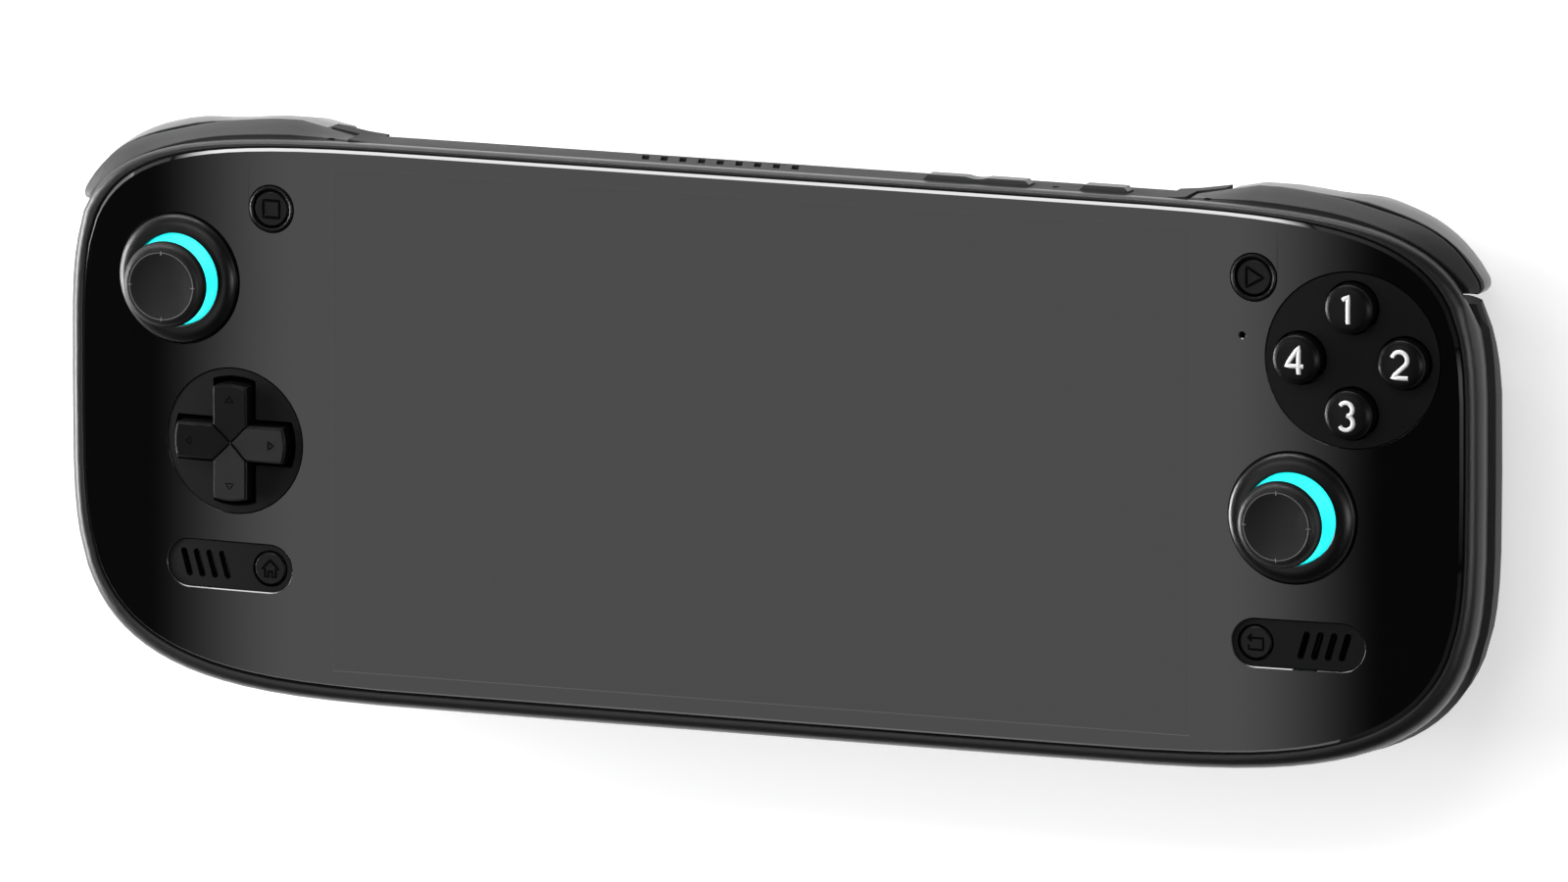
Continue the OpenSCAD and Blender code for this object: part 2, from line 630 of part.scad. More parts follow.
// translucent rings that light up round the sticks
module stick_light_rings() {
  color([0.1, 0.85, 0.9]) place() for (p = [[-outer_x, upper_y], [inner_x, lower_y]])
    translate([p[0], p[1], -droop(p[0])]) rotate([0, lean(p[0]), 0]) rotate_extrude($fn = 96)
      polygon([[stick_bore + 0.15, 0.2], [6.8, 0.2], [6.8, 0.75], [6.5, 0.95], [stick_bore + 0.15, 0.6]]);
}

// metal case of a stick module on its board
module stick_housing(x, y) {
  z = -droop(x) - 3.4;
  color([0.6, 0.61, 0.63]) place() translate([x, y, 0]) difference() {
    translate([-7, -7, -board_front]) cube([14, 14, z + board_front]);
    translate([-5.8, -5.8, -board_front - 1]) cube([11.6, 11.6, z + board_front + 0.4]);
    translate([0, 0, z - 2]) cylinder(r = stick_bore, h = 4);
  }
}

module left_stick_housing() {
  stick_housing(-outer_x, upper_y);
}

module right_stick_housing() {
  stick_housing(inner_x, lower_y);
}

// moves a stick piece to its pivot
module at_pivot(x, y) {
  place() translate([x, y, -droop(x) - stick_pivot]) children();
}

// sliding frame that lets the stick click
module stick_carrier(x, y) {
  color([0.85, 0.85, 0.83]) at_pivot(x, y) difference() {
    translate([-5.5, -5.5, -1.2]) cube([11, 11, 2.4]);
    translate([-4.4, -4.4, -2]) cube([8.8, 8.8, 4]);
    rotate([0, 90, 0]) cylinder(r = 0.85, h = 20, center = true);
  }
}

module left_stick_carrier() {
  stick_carrier(-outer_x, upper_y);
}

module right_stick_carrier() {
  stick_carrier(inner_x, lower_y);
}

// tilting frame that carries the lever
module stick_yoke(x, y) {
  color([0.3, 0.3, 0.32]) at_pivot(x, y) difference() {
    union() {
      translate([-4, -4, -1.1]) cube([8, 8, 2.2]);
      rotate([0, 90, 0]) cylinder(r = 0.8, h = 10.8, center = true);
    }
    translate([-2.8, -2.8, -2]) cube([5.6, 5.6, 4]);
    rotate([90, 0, 0]) cylinder(r = 0.85, h = 20, center = true);
  }
}

module left_stick_yoke() {
  stick_yoke(-outer_x, upper_y);
}

module right_stick_yoke() {
  stick_yoke(inner_x, lower_y);
}

// lever with its cross pin
module stick_lever(x, y) {
  color([0.2, 0.2, 0.22]) at_pivot(x, y) {
    rotate([90, 0, 0]) cylinder(r = 0.8, h = 7.6, center = true);
    sphere(r = 2.1);
    cylinder(r = 1.5, h = stick_pivot + stick_h - 1.4);
  }
}

module left_stick_lever() {
  stick_lever(-outer_x, upper_y);
}

module right_stick_lever() {
  stick_lever(inner_x, lower_y);
}

// rubber cap with a shallow dish, pressed on the lever
module stick_cap(x, y) {
  r = stick_d / 2;
  h = stick_h;
  color([0.06, 0.06, 0.065]) place() translate([x, y, -droop(x)]) difference() {
    rotate_extrude($fn = 96) polygon(concat([[0, -1.6], [skirt_r, -1.6], [skirt_r, 3.4], [skirt_r + 0.7, h - 2.8], [r - 0.5, h - 2.8], [r - 0.1, h - 2.5],
      [r, h - 2], [r, h - 0.7], [r - 0.2, h - 0.22], [r - 0.6, h]], [for (q = [1:-0.125:0]) [q * (r - 0.75), h - 0.55 * (1 - q * q) - 0.02]]));
    translate([0, 0, -2]) cylinder(r = 1.5 + 0.02, h = 2 + h - 1.35);
  }
}

module left_stick_cap() {
  stick_cap(-outer_x, upper_y);
}

module right_stick_cap() {
  stick_cap(inner_x, lower_y);
}

// round plate flush with the glass, with a flange behind it
module round_plate(x, y, d, low) {
  intersection() {
    translate([x, y, -10]) cylinder(d = d, h = 20, $fn = 96);
    skin(low, glass_t + 0.4);
  }
  intersection() {
    translate([x, y, -10]) cylinder(d = d + 2 * plate_flange, h = 20, $fn = 96);
    skin(glass_t + 0.2, glass_t + 1);
  }
}

// outline of the direction cross
module cross_plan(w, arm) {
  intersection() {
    circle(d = w, $fn = 96);
    union() {
      square([w, arm], center = true);
      square([arm, w], center = true);
    }
  }
}

// round plate round the direction cross
module dpad_plate() {
  color([0.06, 0.06, 0.065]) place() difference() {
    round_plate(-inner_x, lower_y, pad_d, 0.1);
    translate([-inner_x, lower_y, -10]) linear_extrude(height = 20) cross_plan(cross_w + 2, cross_arm + 1.5);
  }
}

// pivot of the cross below the glass
cross_pivot = 6.4;
// front of the flange of the cross below the glass
cross_flange = 4;

// direction cross with a flange and a ball seat
module dpad() {
  color([0.09, 0.09, 0.095]) place() translate([-inner_x, lower_y, -droop(inner_x)]) difference() {
    union() {
      translate([0, 0, -cross_flange - 0.2]) linear_extrude(height = cross_flange + 0.2 + cross_h - 0.35) cross_plan(cross_w, cross_arm);
      translate([0, 0, cross_h - 0.36]) linear_extrude(height = 0.36) cross_plan(cross_w - 0.5, cross_arm - 0.5);
      translate([0, 0, -cross_flange - 0.8]) cylinder(r = cross_w / 2 + 0.2, h = 0.8, $fn = 96);
      translate([0, 0, -cross_pivot + 0.05]) cylinder(r = 3, h = cross_pivot - cross_flange - 0.65);
    }
    for (a = [45, 135]) translate([0, 0, cross_h]) rotate(a) cube([6.2, 0.35, 0.6], center = true);
    translate([0, 0, cross_h + 13.7]) sphere(r = 14, $fn = 96);
    translate([0, 0, -cross_pivot]) sphere(r = 1.9);
  }
}

// ball under the direction cross
module dpad_pivot() {
  color([0.75, 0.76, 0.78]) place() translate([-inner_x, lower_y, -droop(inner_x) - cross_pivot]) sphere(r = 1.8);
}

// places of the face buttons: top, right, bottom, left
face_spots = [[outer_x, upper_y + face_pitch], [outer_x + face_pitch, upper_y],
  [outer_x, upper_y - face_pitch], [outer_x - face_pitch, upper_y]];

// round plate round the four face buttons
module face_plate() {
  color([0.06, 0.06, 0.065]) place() difference() {
    round_plate(outer_x, upper_y, face_d, 0.05);
    for (p = face_spots) translate([p[0], p[1], -10]) cylinder(d = face_button_d + 2 * move_gap + 0.1, h = 20, $fn = 64);
  }
}

// domed face button with flange and stem
module face_button(p) {
  r = face_button_d / 2;
  h = face_h;
  color([0.09, 0.09, 0.095]) place() translate([p[0], p[1], -droop(p[0])]) rotate_extrude($fn = 64)
    polygon(concat([[0, -4.5], [2, -4.5], [2, -3.7], [r + 0.65, -3.7], [r + 0.65, -2.9], [r, -2.9]],
      [for (a = [0:15:75]) [r - 0.55 + 0.55 * cos(a), h - 1 + 0.55 * sin(a)]],
      [for (q = [0.82:-0.164:0]) [q * r, h - 0.42 * q * q]], [[0, h]]));
}

module face_button_top() {
  face_button(face_spots[0]);
}

module face_button_right() {
  face_button(face_spots[1]);
}

module face_button_bottom() {
  face_button(face_spots[2]);
}

module face_button_left() {
  face_button(face_spots[3]);
}

// flat round button with flange and stem
module flat_button(x, y, d, drop) {
  r = d / 2;
  z = -droop(x) - drop;
  color([0.09, 0.09, 0.095]) place() translate([x, y, z]) rotate_extrude($fn = 64)
    polygon([[0, -5.2], [1.2, -5.2], [1.2, -2.8 + drop], [r + 0.5, -2.8 + drop], [r + 0.5, -2.2 + drop], [r, -2.2 + drop],
      [r, -0.25], [r - 0.25, 0], [0, 0]]);
}

module select_button() {
  flat_button(-small_x, small_y, small_hole_d - 1.7, 0);
}

module start_button() {
  flat_button(small_x, small_y, small_hole_d - 1.7, 0);
}

module home_button() {
  flat_button(-pill_x + mini_in, pill_y, mini_d, 0.2);
}

module back_button() {
  flat_button(pill_x - mini_in, pill_y, mini_d, 0.2);
}

// two thin rings round the select and start buttons
module small_button_bezels() {
  color([0.12, 0.12, 0.125]) place() for (s = [-1, 1]) translate([s * small_x, small_y, -droop(small_x)])
    rotate([0, lean(s * small_x), 0]) rotate_extrude($fn = 64)
      polygon([[small_hole_d / 2 - 0.6, 0], [small_hole_d / 2 - 0.35, 0.12], [small_hole_d / 2 - 0.1, 0], [small_hole_d / 2 - 0.1, -glass_t - 0.2],
        [small_hole_d / 2 + 0.7, -glass_t - 0.2], [small_hole_d / 2 + 0.7, -glass_t - 0.8], [small_hole_d / 2 - 0.6, -glass_t - 0.8]]);
}

// pill-shaped plate with slanted speaker slots and a button hole
module grille_plate(s) {
  color([0.06, 0.06, 0.065]) place() difference() {
    union() {
      intersection() {
        translate([s * pill_x, pill_y, -10]) linear_extrude(height = 20) stadium(pill_l, pill_h);
        skin(0.25, glass_t + 0.4);
      }
      intersection() {
        translate([s * pill_x, pill_y, -10]) linear_extrude(height = 20) stadium(pill_l + 2 * plate_flange, pill_h + 2 * plate_flange);
        skin(glass_t + 0.2, glass_t + 0.9);
      }
    }
    translate([s * (pill_x - mini_in), pill_y, -10]) cylinder(d = mini_d + 2 * move_gap, h = 20);
    for (i = [0:3]) translate([s * (pill_x + 0.8 + 2.05 * i), pill_y, -10]) rotate(s * -16)
      linear_extrude(height = 20) rotate(90) stadium(4.3, 1);
  }
}

module left_grille_plate() {
  grille_plate(-1);
}

module right_grille_plate() {
  grille_plate(1);
}

// plan of a control board of the right side
module board_plan() {
  difference() {
    polygon([[frame_w / 2 - 40, -frame_bottom + 13.6], [frame_w / 2 - 40, frame_top - 8.6], [frame_w / 2 - 8, frame_top - 8.6],
      [frame_w / 2 - 7.5, 20], [frame_w / 2 - 7.5, -18], [frame_w / 2 - 13.5, -frame_bottom + 13.6]]);
    notch_plan(notch_in - shell_wall - 0.3, pivot_wall + shell_wall + 0.3, notch_low - shell_wall - 0.3);
  }
}

// switch block on a board up to a depth
module switch_block(x, y, z) {
  translate([x - 1.8, y - 1.8, -board_front - 0.1]) cube([3.6, 3.6, board_front - z + 0.1]);
}

// board under the left controls with switches and the seat of the ball
module left_control_board() {
  z = droop(inner_x) + cross_pivot;
  color([0.05, 0.22, 0.14]) place() {
    difference() {
      union() {
        translate([0, 0, -board_back]) linear_extrude(height = board_t) mirror([1, 0]) board_plan();
        translate([-inner_x, lower_y, -board_front - 0.1]) cylinder(r = 3, h = board_front - z - 0.4);
      }
      translate([-inner_x, lower_y, -z]) sphere(r = 1.84);
    }
    switch_block(-small_x, small_y, droop(small_x) + 5.2 + small_travel + 0.2);
    switch_block(-pill_x + mini_in, pill_y, droop(pill_x - mini_in) + 5.4 + small_travel + 0.2);
  }
}

// board under the right controls with switches
module right_control_board() {
  color([0.05, 0.22, 0.14]) place() {
    translate([0, 0, -board_back]) linear_extrude(height = board_t) board_plan();
    switch_block(small_x, small_y, droop(small_x) + 5.2 + small_travel + 0.2);
    switch_block(pill_x - mini_in, pill_y, droop(pill_x - mini_in) + 5.4 + small_travel + 0.2);
  }
}

// soft sheet with four domes under the direction cross
module dpad_membrane() {
  color([0.55, 0.55, 0.57]) place() translate([-inner_x, lower_y, -board_front]) {
    difference() {
      cylinder(r = 9.6, h = 0.8);
      translate([0, 0, -1]) cylinder(r = 3.3, h = 3);
    }
    for (a = [0:90:270]) rotate(a) translate([6.4, 0, 0.7]) cylinder(r1 = 2.4, r2 = 1.6, h = board_front - 0.7 - droop(inner_x) - cross_flange - 2.1);
  }
}

// soft sheet with four domes under the face buttons
module face_membrane() {
  color([0.55, 0.55, 0.57]) place() {
    difference() {
      translate([outer_x, upper_y, -board_front]) cylinder(r = face_pitch + 2.9, h = 0.8);
      translate([0, 0, -20]) linear_extrude(height = 20) notch_plan(notch_in - shell_wall - 0.3, pivot_wall + shell_wall + 0.3,
        notch_low - shell_wall - 0.3);
    }
    for (p = face_spots) translate([p[0], p[1], -board_front + 0.7])
      cylinder(r1 = 2.3, r2 = 1.8, h = board_front - 0.7 - droop(p[0]) - 4.5 - face_travel - 0.2);
  }
}

// place on the top right corner of the lip for an angle, and the outward direction there
function lip_pt(t) = [lip_half - lip_reach + lip_reach * pow(cos(t), 2 / corner_n_top),
  corner_mid + (lip_top - corner_mid) * pow(sin(t), 2 / corner_n_top)];
function lip_dir(t) = let (a = pow(cos(t), 2 - 2 / corner_n_top) / lip_reach,
  b = pow(sin(t), 2 - 2 / corner_n_top) / (lip_top - corner_mid), l = sqrt(a * a + b * b)) [a / l, b / l];
function turn_at_x(x) = acos(pow((x - lip_half + lip_reach) / lip_reach, corner_n_top / 2));
function turn_at_y(y) = asin(pow((y - corner_mid) / (lip_top - corner_mid), corner_n_top / 2));
// height of a key over the lip, lower round its outer end
function key_rise_at(t) = let (x = lip_pt(t)[0] - lip_half, e = min(1, max(0, (key_tip - t) / 3)))
  bumper_rise_in + (bumper_rise_mid - bumper_rise_in) * ease((x + 43) / 12)
  + (bumper_rise_out - bumper_rise_mid) * ease((x + 16.2) / 11) - 1.3 * (1 - sqrt(max(0, 1 - e * e)));
function key_pt(t, off, z) = let (p = lip_pt(t), d = lip_dir(t)) [p[0] + off * d[0], p[1] + off * d[1], -z];
// outer edge of the trigger, for a share of its length
function trigger_edge(f, s) = let (t = trigger_start + f * (key_end - trigger_start)) key_pt(t, key_rise_at(t) + s * trigger_swell(t), 11);
function trigger_swell(t) = let (x = lip_pt(t)[0] - lip_half) 1.15 * ease((x + 24) / 9) - 0.5 * ease((x + 13) / 8) - 0.25;

// bar from sections along a key
module key_sweep(rows) {
  m = len(rows[0]);
  polyhedron(points = flat(rows), faces = concat(wrap_faces(len(rows), m, false), [[for (i = [0:m - 1]) i]],
    [[for (i = [m - 1:-1:0]) (len(rows) - 1) * m + i]]));
}

function bumper_section(t) = let (x = lip_pt(t)[0], r = key_rise_at(t), q = r - 0.75, b = bumper_depth,
  f = rim_top_depth + move_gap + droop(x), d = b - 0.15 - f)
  [key_pt(t, -1.2, f), key_pt(t, -1.2, b), key_pt(t, r - 0.15, b), key_pt(t, r, b - 0.15), key_pt(t, 0.75 + 0.95 * q, f + 0.88 * d),
   key_pt(t, 0.75 + 0.6 * q, f + 0.55 * d), key_pt(t, 0.75 + 0.22 * q, f + 0.28 * d), key_pt(t, 0.75 + 0.06 * q, f + 0.12 * d), key_pt(t, 0.75, f)];
// outer face of the trigger behind its crest, leaning in with the depth
function trigger_face(t, z) = let (x = lip_pt(t)[0] - lip_half)
  key_rise_at(t) + trigger_swell(t) - (0.2 + 0.22 * ease((x + 20) / 16)) * (z - 11);
function trigger_section(t) = let (r = key_rise_at(t), s = trigger_swell(t), d = trigger_depth, b = bumper_depth + move_gap, e = trigger_face(t, d))
  [key_pt(t, r - 1.8, b), key_pt(t, r - 1.7, 11), key_pt(t, r - 2.5, 15), key_pt(t, e - 1.1, d - 0.9), key_pt(t, e - 0.8, d - 0.2),
   key_pt(t, e - 0.45, d), key_pt(t, e + 0.05, d - 0.6), key_pt(t, trigger_face(t, d - 2.4), d - 2.4), key_pt(t, trigger_face(t, 14), 14),
   key_pt(t, r + s, 11), key_pt(t, r + 0.8 * s, 9), key_pt(t, r + 0.35 * s - 0.05, b + 0.15), key_pt(t, r + 0.3 * s - 0.2, b)];

// share of the length for each section of a key, closer at the outer end
key_shares = [for (k = [0:26]) k < 18 ? k / 20 : 0.9 + (k - 18) * 0.0125];

// everything below a height on the right side
module below(y) {
  translate([0, y - frame_w, -60]) cube([frame_w, frame_w, 120]);
}

// bumper of the right side
module bumper() {
  difference() {
    union() {
      key_sweep([for (f = key_shares) bumper_section(bumper_start + f * (key_end - bumper_start))]);
      translate([bumper_pin_x, bumper_pin_y, -bumper_depth]) cylinder(r = 1.4, h = bumper_depth - panel_back - move_gap);
    }
    below(bumper_low);
    translate([bumper_pin_x, bumper_pin_y, -20]) cylinder(r = 0.95, h = 40);
  }
}

module right_bumper() {
  color([0.07, 0.07, 0.075]) place() bumper();
}

module left_bumper() {
  color([0.07, 0.07, 0.075]) place() mirror([1, 0, 0]) bumper();
}

// moves a shoulder piece of the right side to the pivot pin, X along the pin
module at_shoulder() {
  translate([pivot_x, pivot_y, -pivot_depth]) rotate([0, 0, -pivot_turn]) children();
}

// trigger of the right side with two lugs on the pin
module trigger() {
  difference() {
    union() {
      key_sweep([for (f = key_shares) trigger_section(trigger_start + f * (key_end - trigger_start))]);
      intersection() {
        at_shoulder() for (s = [-1, 1]) translate([s * 14.4 - 0.9, -1.7, -1.8]) cube([1.8, 12, 3.6]);
        translate([0, 0, -20]) linear_extrude(height = 20)
          polygon(concat([for (f = key_shares)
            let (t = trigger_start + f * (key_end - trigger_start), p = key_pt(t, key_rise_at(t) - 0.7, 0)) [p[0], p[1]]],
            [[lip_half - 10, notch_low], [trigger_in, notch_low + 2]]));
      }
    }
    at_shoulder() rotate([0, 90, 0]) cylinder(r = pivot_r + 0.05, h = 31.6, center = true);
    below(trigger_low);
  }
}

module right_trigger() {
  color([0.1, 0.1, 0.105]) place() trigger();
}

module left_trigger() {
  color([0.1, 0.1, 0.105]) place() mirror([1, 0, 0]) trigger();
}

// bracket that holds the pivot pin of the right trigger
module shoulder_bracket() {
  at_shoulder() difference() {
    union() {
      translate([-12.7, -pivot_wall + 0.05, -2.3]) cube([25.4, 1.1, 5]);
      for (s = [-1, 1]) translate([s * 11.8 - 0.8, -pivot_wall + 0.1, -1.7]) cube([1.6, pivot_wall + 1.6, 3.4]);
    }
    rotate([0, 90, 0]) cylinder(r = pivot_r + 0.01, h = 60, center = true);
  }
}

module right_shoulder_bracket() {
  color([0.5, 0.51, 0.53]) place() shoulder_bracket();
}

module left_shoulder_bracket() {
  color([0.5, 0.51, 0.53]) place() mirror([1, 0, 0]) shoulder_bracket();
}

// pivot pins of the triggers and the bumpers
module shoulder_pins() {
  color([0.72, 0.73, 0.75]) place() for (s = [0, 1]) mirror([s, 0, 0]) {
    at_shoulder() rotate([0, 90, 0]) cylinder(r = pivot_r, h = 31, center = true);
    translate([bumper_pin_x, bumper_pin_y, -10.9]) cylinder(r = 0.9, h = 10.9 - rim_top_depth - 0.25);
  }
}

// wound wire round a trigger pin with one leg on the bracket
module trigger_spring() {
  r = pivot_r + 0.65;
  n = 60;
  rows = concat([for (k = [0:n]) let (a = 30 * k, x = -2.5 + 5 * k / n) [for (j = [0:5]) let (q = r + 0.3 * cos(60 * j))
    [x + 0.3 * sin(60 * j), q * cos(a), q * sin(a)]]]);
  at_shoulder() key_sweep(rows);
}

module right_trigger_spring() {
  color([0.7, 0.71, 0.73]) place() trigger_spring();
}

module left_trigger_spring() {
  color([0.7, 0.71, 0.73]) place() mirror([1, 0, 0]) trigger_spring();
}

// plan of a top key seen from the front, with a flange inside the wall
module key_plan(l, dip) {
  difference() {
    union() {
      translate([-l / 2, -shell_wall - 1]) square([l, shell_wall + 1 + key_rise]);
      translate([-l / 2 - 1, -shell_wall - 2.4]) square([l + 2, 1.5]);
    }
    for (s = [-1, 1]) translate([s * l / 2, key_rise]) rotate(45) square(0.8, center = true);
    translate([0, key_rise + dip]) circle(r = 6, $fn = 96);
  }
}

// rocker for the volume, tilting on a pin of the mid plate
module volume_key() {
  color([0.1, 0.1, 0.105]) place() translate([volume_x, frame_top, -5.4]) difference() {
    union() {
      linear_extrude(height = 2.1) key_plan(volume_l, 5.75);
      translate([0, -3.7, 0]) cylinder(r = 1.2, h = 1.4);
    }
    translate([0, -3.7, -1]) cylinder(r = 0.55, h = 5);
    translate([-volume_l, -8, 1.4]) cube([2 * volume_l, 6.1, 3]);
  }
}

// power key
module power_key() {
  color([0.1, 0.1, 0.105]) place() translate([power_x, frame_top, -5.4]) difference() {
    linear_extrude(height = 2.1) key_plan(power_l, 20);
    translate([-power_l, -8, 1.4]) cube([2 * power_l, 6.1, 3]);
  }
}

// two speaker boxes on the control boards
module speakers() {
  color([0.13, 0.13, 0.14]) place() for (s = [-1, 1]) translate([s * (pill_x + 2.6) - 6, pill_y - 3, -board_front])
    cube([12, 6, board_front - droop(pill_x + 9) - glass_t - 1.9]);
}

// two coin motors behind the control boards
module rumble_motors() {
  color([0.66, 0.67, 0.69]) place() for (s = [-1, 1]) translate([s * (inner_x + 6), lower_y - 8, -board_back - 3]) cylinder(r = 5, h = 3);
}

// charging socket behind the mainboard
module usb_port() {
  color([0.7, 0.71, 0.73]) place() translate([0, -frame_bottom + 0.6, -usb_mid]) rotate([-90, 0, 0]) difference() {
    linear_extrude(height = 8) stadium(8.94, 3.2);
    translate([0, 0, -1]) linear_extrude(height = 7.4) difference() {
      stadium(8.34, 2.6);
      square([6.7, 0.7], center = true);
    }
  }
}

// round socket for headphones behind the mainboard
module headphone_jack() {
  color([0.12, 0.12, 0.13]) place() translate([jack_x, -frame_bottom + 0.6, -jack_mid]) difference() {
    union() {
      translate([-3.2, 3.6, -2.8]) cube([6.4, 10.4, 5.6]);
      rotate([-90, 0, 0]) cylinder(r = jack_r + 0.8, h = 4);
      translate([-5.2, 9, jack_mid - main_front]) cube([10.4, 4, 0.6]);
    }
    translate([0, -1, 0]) rotate([-90, 0, 0]) cylinder(r = jack_r, h = 13);
  }
}

// flat socket for a memory card behind the mainboard
module card_slot() {
  color([0.68, 0.69, 0.71]) place() translate([card_x, -frame_bottom + 2.2, -card_mid]) difference() {
    translate([-6.6, 0, -0.9]) cube([13.2, 14, 1.8]);
    translate([-5.7, -1, -0.5]) cube([11.4, 13.5, 1]);
  }
}

// four screws that hold the back on the mid plate posts
module rear_screws() {
  color([0.35, 0.35, 0.36]) place() for (s = [-1, 1]) for (p = screw_spots) translate([s * p[0], p[1], -back_depth + 2.6]) difference() {
    union() {
      translate([0, 0, -1.3]) cylinder(r = 1.8, h = 1.3);
      cylinder(r = 1, h = 7.2);
    }
    translate([0, 0, -1.31]) cube([2.4, 0.5, 1.2], center = true);
    translate([0, 0, -1.31]) cube([0.5, 2.4, 1.2], center = true);
  }
}

front_glass();
display_panel();
front_frame();
rear_shell();
mid_plate();
mainboard();
battery();
fan_housing();
fan_impeller();
heatsink();
heat_pipe();
left_stick_collar();
right_stick_collar();
stick_light_rings();
left_stick_housing();
right_stick_housing();
left_stick_carrier();
right_stick_carrier();
left_stick_yoke();
right_stick_yoke();
left_stick_lever();
right_stick_lever();
left_stick_cap();
right_stick_cap();
dpad_plate();
dpad();
dpad_pivot();
face_plate();
face_button_top();
face_button_right();
face_button_bottom();
face_button_left();
select_button();
start_button();
home_button();
back_button();
left_grille_plate();
right_grille_plate();
small_button_bezels();
left_control_board();
right_control_board();
dpad_membrane();
face_membrane();
left_bumper();
right_bumper();
left_trigger();
right_trigger();
left_shoulder_bracket();
right_shoulder_bracket();
shoulder_pins();
left_trigger_spring();
right_trigger_spring();
volume_key();
power_key();
speakers();
rumble_motors();
usb_port();
headphone_jack();
card_slot();
rear_screws();
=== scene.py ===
"""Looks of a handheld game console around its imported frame.

The console lies on its grips, screen up. Copies of the frame's pieces with merged corners and soft shading
replace the faceted ones, marks are laid on the buttons, and a small studio lights the whole.
"""

import json
import logging
import math
from dataclasses import dataclass, field
from enum import Enum
from typing import AbstractSet, Callable, Dict, List, Optional, Sequence, Tuple

import bmesh
import bpy
from mathutils import Matrix, Vector


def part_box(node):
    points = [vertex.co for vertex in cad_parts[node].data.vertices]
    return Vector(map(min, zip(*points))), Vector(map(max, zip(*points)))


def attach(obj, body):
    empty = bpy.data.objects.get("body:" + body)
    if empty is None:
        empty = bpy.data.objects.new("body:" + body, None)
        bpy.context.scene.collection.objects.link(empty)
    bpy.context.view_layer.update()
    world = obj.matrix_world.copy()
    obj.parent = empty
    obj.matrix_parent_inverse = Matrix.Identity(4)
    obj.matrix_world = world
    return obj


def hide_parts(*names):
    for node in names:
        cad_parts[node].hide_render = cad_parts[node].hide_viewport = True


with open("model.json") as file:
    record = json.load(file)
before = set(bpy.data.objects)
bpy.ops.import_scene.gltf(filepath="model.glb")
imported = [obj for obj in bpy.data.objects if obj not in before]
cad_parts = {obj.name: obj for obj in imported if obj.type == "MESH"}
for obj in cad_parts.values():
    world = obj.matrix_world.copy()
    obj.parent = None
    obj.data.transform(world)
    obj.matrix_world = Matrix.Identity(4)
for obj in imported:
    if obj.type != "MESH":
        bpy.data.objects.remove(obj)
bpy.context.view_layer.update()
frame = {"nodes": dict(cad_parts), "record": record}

LOG = logging.getLogger("console")

Point2 = Tuple[float, float]
Colour = Tuple[float, float, float]
Height = Callable[[float, float], float]

MM = 0.001
# middle of the screen in the row frame, half of its picture area, and the bend of both ends of the front
SCREEN = Vector((0.0, -0.0045, 22.0)) * MM
PICTURE_HALF = (66.4, 37.35)
FLAT_HALF = 72.0
WING_R = 220.0
# stretch, from the middle, over which the front turns into its outer corners
CORNER_SPAN = (84.0, 104.0)
# places of the outer and the inner controls on the right half, which the left half mirrors
OUTER_PLACE: Point2 = (90.8, 19.35)
INNER_PLACE: Point2 = (82.0, -4.2)
CROSS_PLACE: Point2 = (-INNER_PLACE[0], INNER_PLACE[1])
STICK_PLACES: Dict[str, Point2] = {"left": (-OUTER_PLACE[0], OUTER_PLACE[1]), "right": INNER_PLACE}
# top of a stick over the front, and the top of the direction cross with its round hollow
CREST_HEIGHT = 7.1
CROSS_TOP = 2.0
CROSS_ARM_HALF = 2.62
HOLLOW_R = 14.0
HOLLOW_DEPTH = 0.3
# corners closer than this are one, and faces that meet at less than the angle shade as one
MERGE = 2e-6
SOFT_ANGLE = 32.0
CRISP_ANGLE = 0.01
# way from the screen to the camera, and the way in which the flat glass mirrors it
CAMERA_WAY = (0.34426, 0.19303, 0.91882)
MIRROR_WAY = (-CAMERA_WAY[0], -CAMERA_WAY[1], CAMERA_WAY[2])


class Surface(Enum):
    """Kinds of finish on the console."""

    SANDED = "sanded"
    SHELL = "shell"
    KEY = "key"
    TRIGGER = "trigger"
    EDGE_KEY = "edge_key"
    SATIN = "satin"
    COLLAR = "collar"
    BUTTON = "button"
    CROSS = "cross"
    PLATE = "plate"
    RUBBER = "rubber"
    CREST_HIGHLIGHT_AND_TICKS = "crest"
    PRINT = "print"
    ICON_AND_CREASE_SHADE = "icon_and_crease_shade"
    STEEL = "steel"
    ALUMINIUM = "aluminium"
    COPPER = "copper"
    BOARD = "board"
    WRAP = "wrap"
    DARK = "dark"
    WHITE = "white"
    SILICONE = "silicone"
    GLASS = "glass"
    GLASS_EDGE = "glass_edge"
    PANEL = "panel"
    LIGHT = "light"


@dataclass(frozen=True)
class PaintedLightBand:
    """A painted change of tone with the depth under the bent front: painted shade where it darkens, painted
    highlight where it brightens.

    Attributes:
        near: Depth in millimetres where the change starts.
        far: Depth where it ends.
        tone: Tone next to the front, as a share of the tone deeper down.
        corner: Extra depth at the outer corners.
    """

    near: float
    far: float
    tone: float
    corner: float = 0.0


@dataclass(frozen=True)
class Dish:
    """A shallow hollow of four flanks over the flat top of a piece.

    Attributes:
        centre: Its middle in screen millimetres.
        tilt: Slope of the flanks towards the middle.
    """

    centre: Point2
    tilt: float


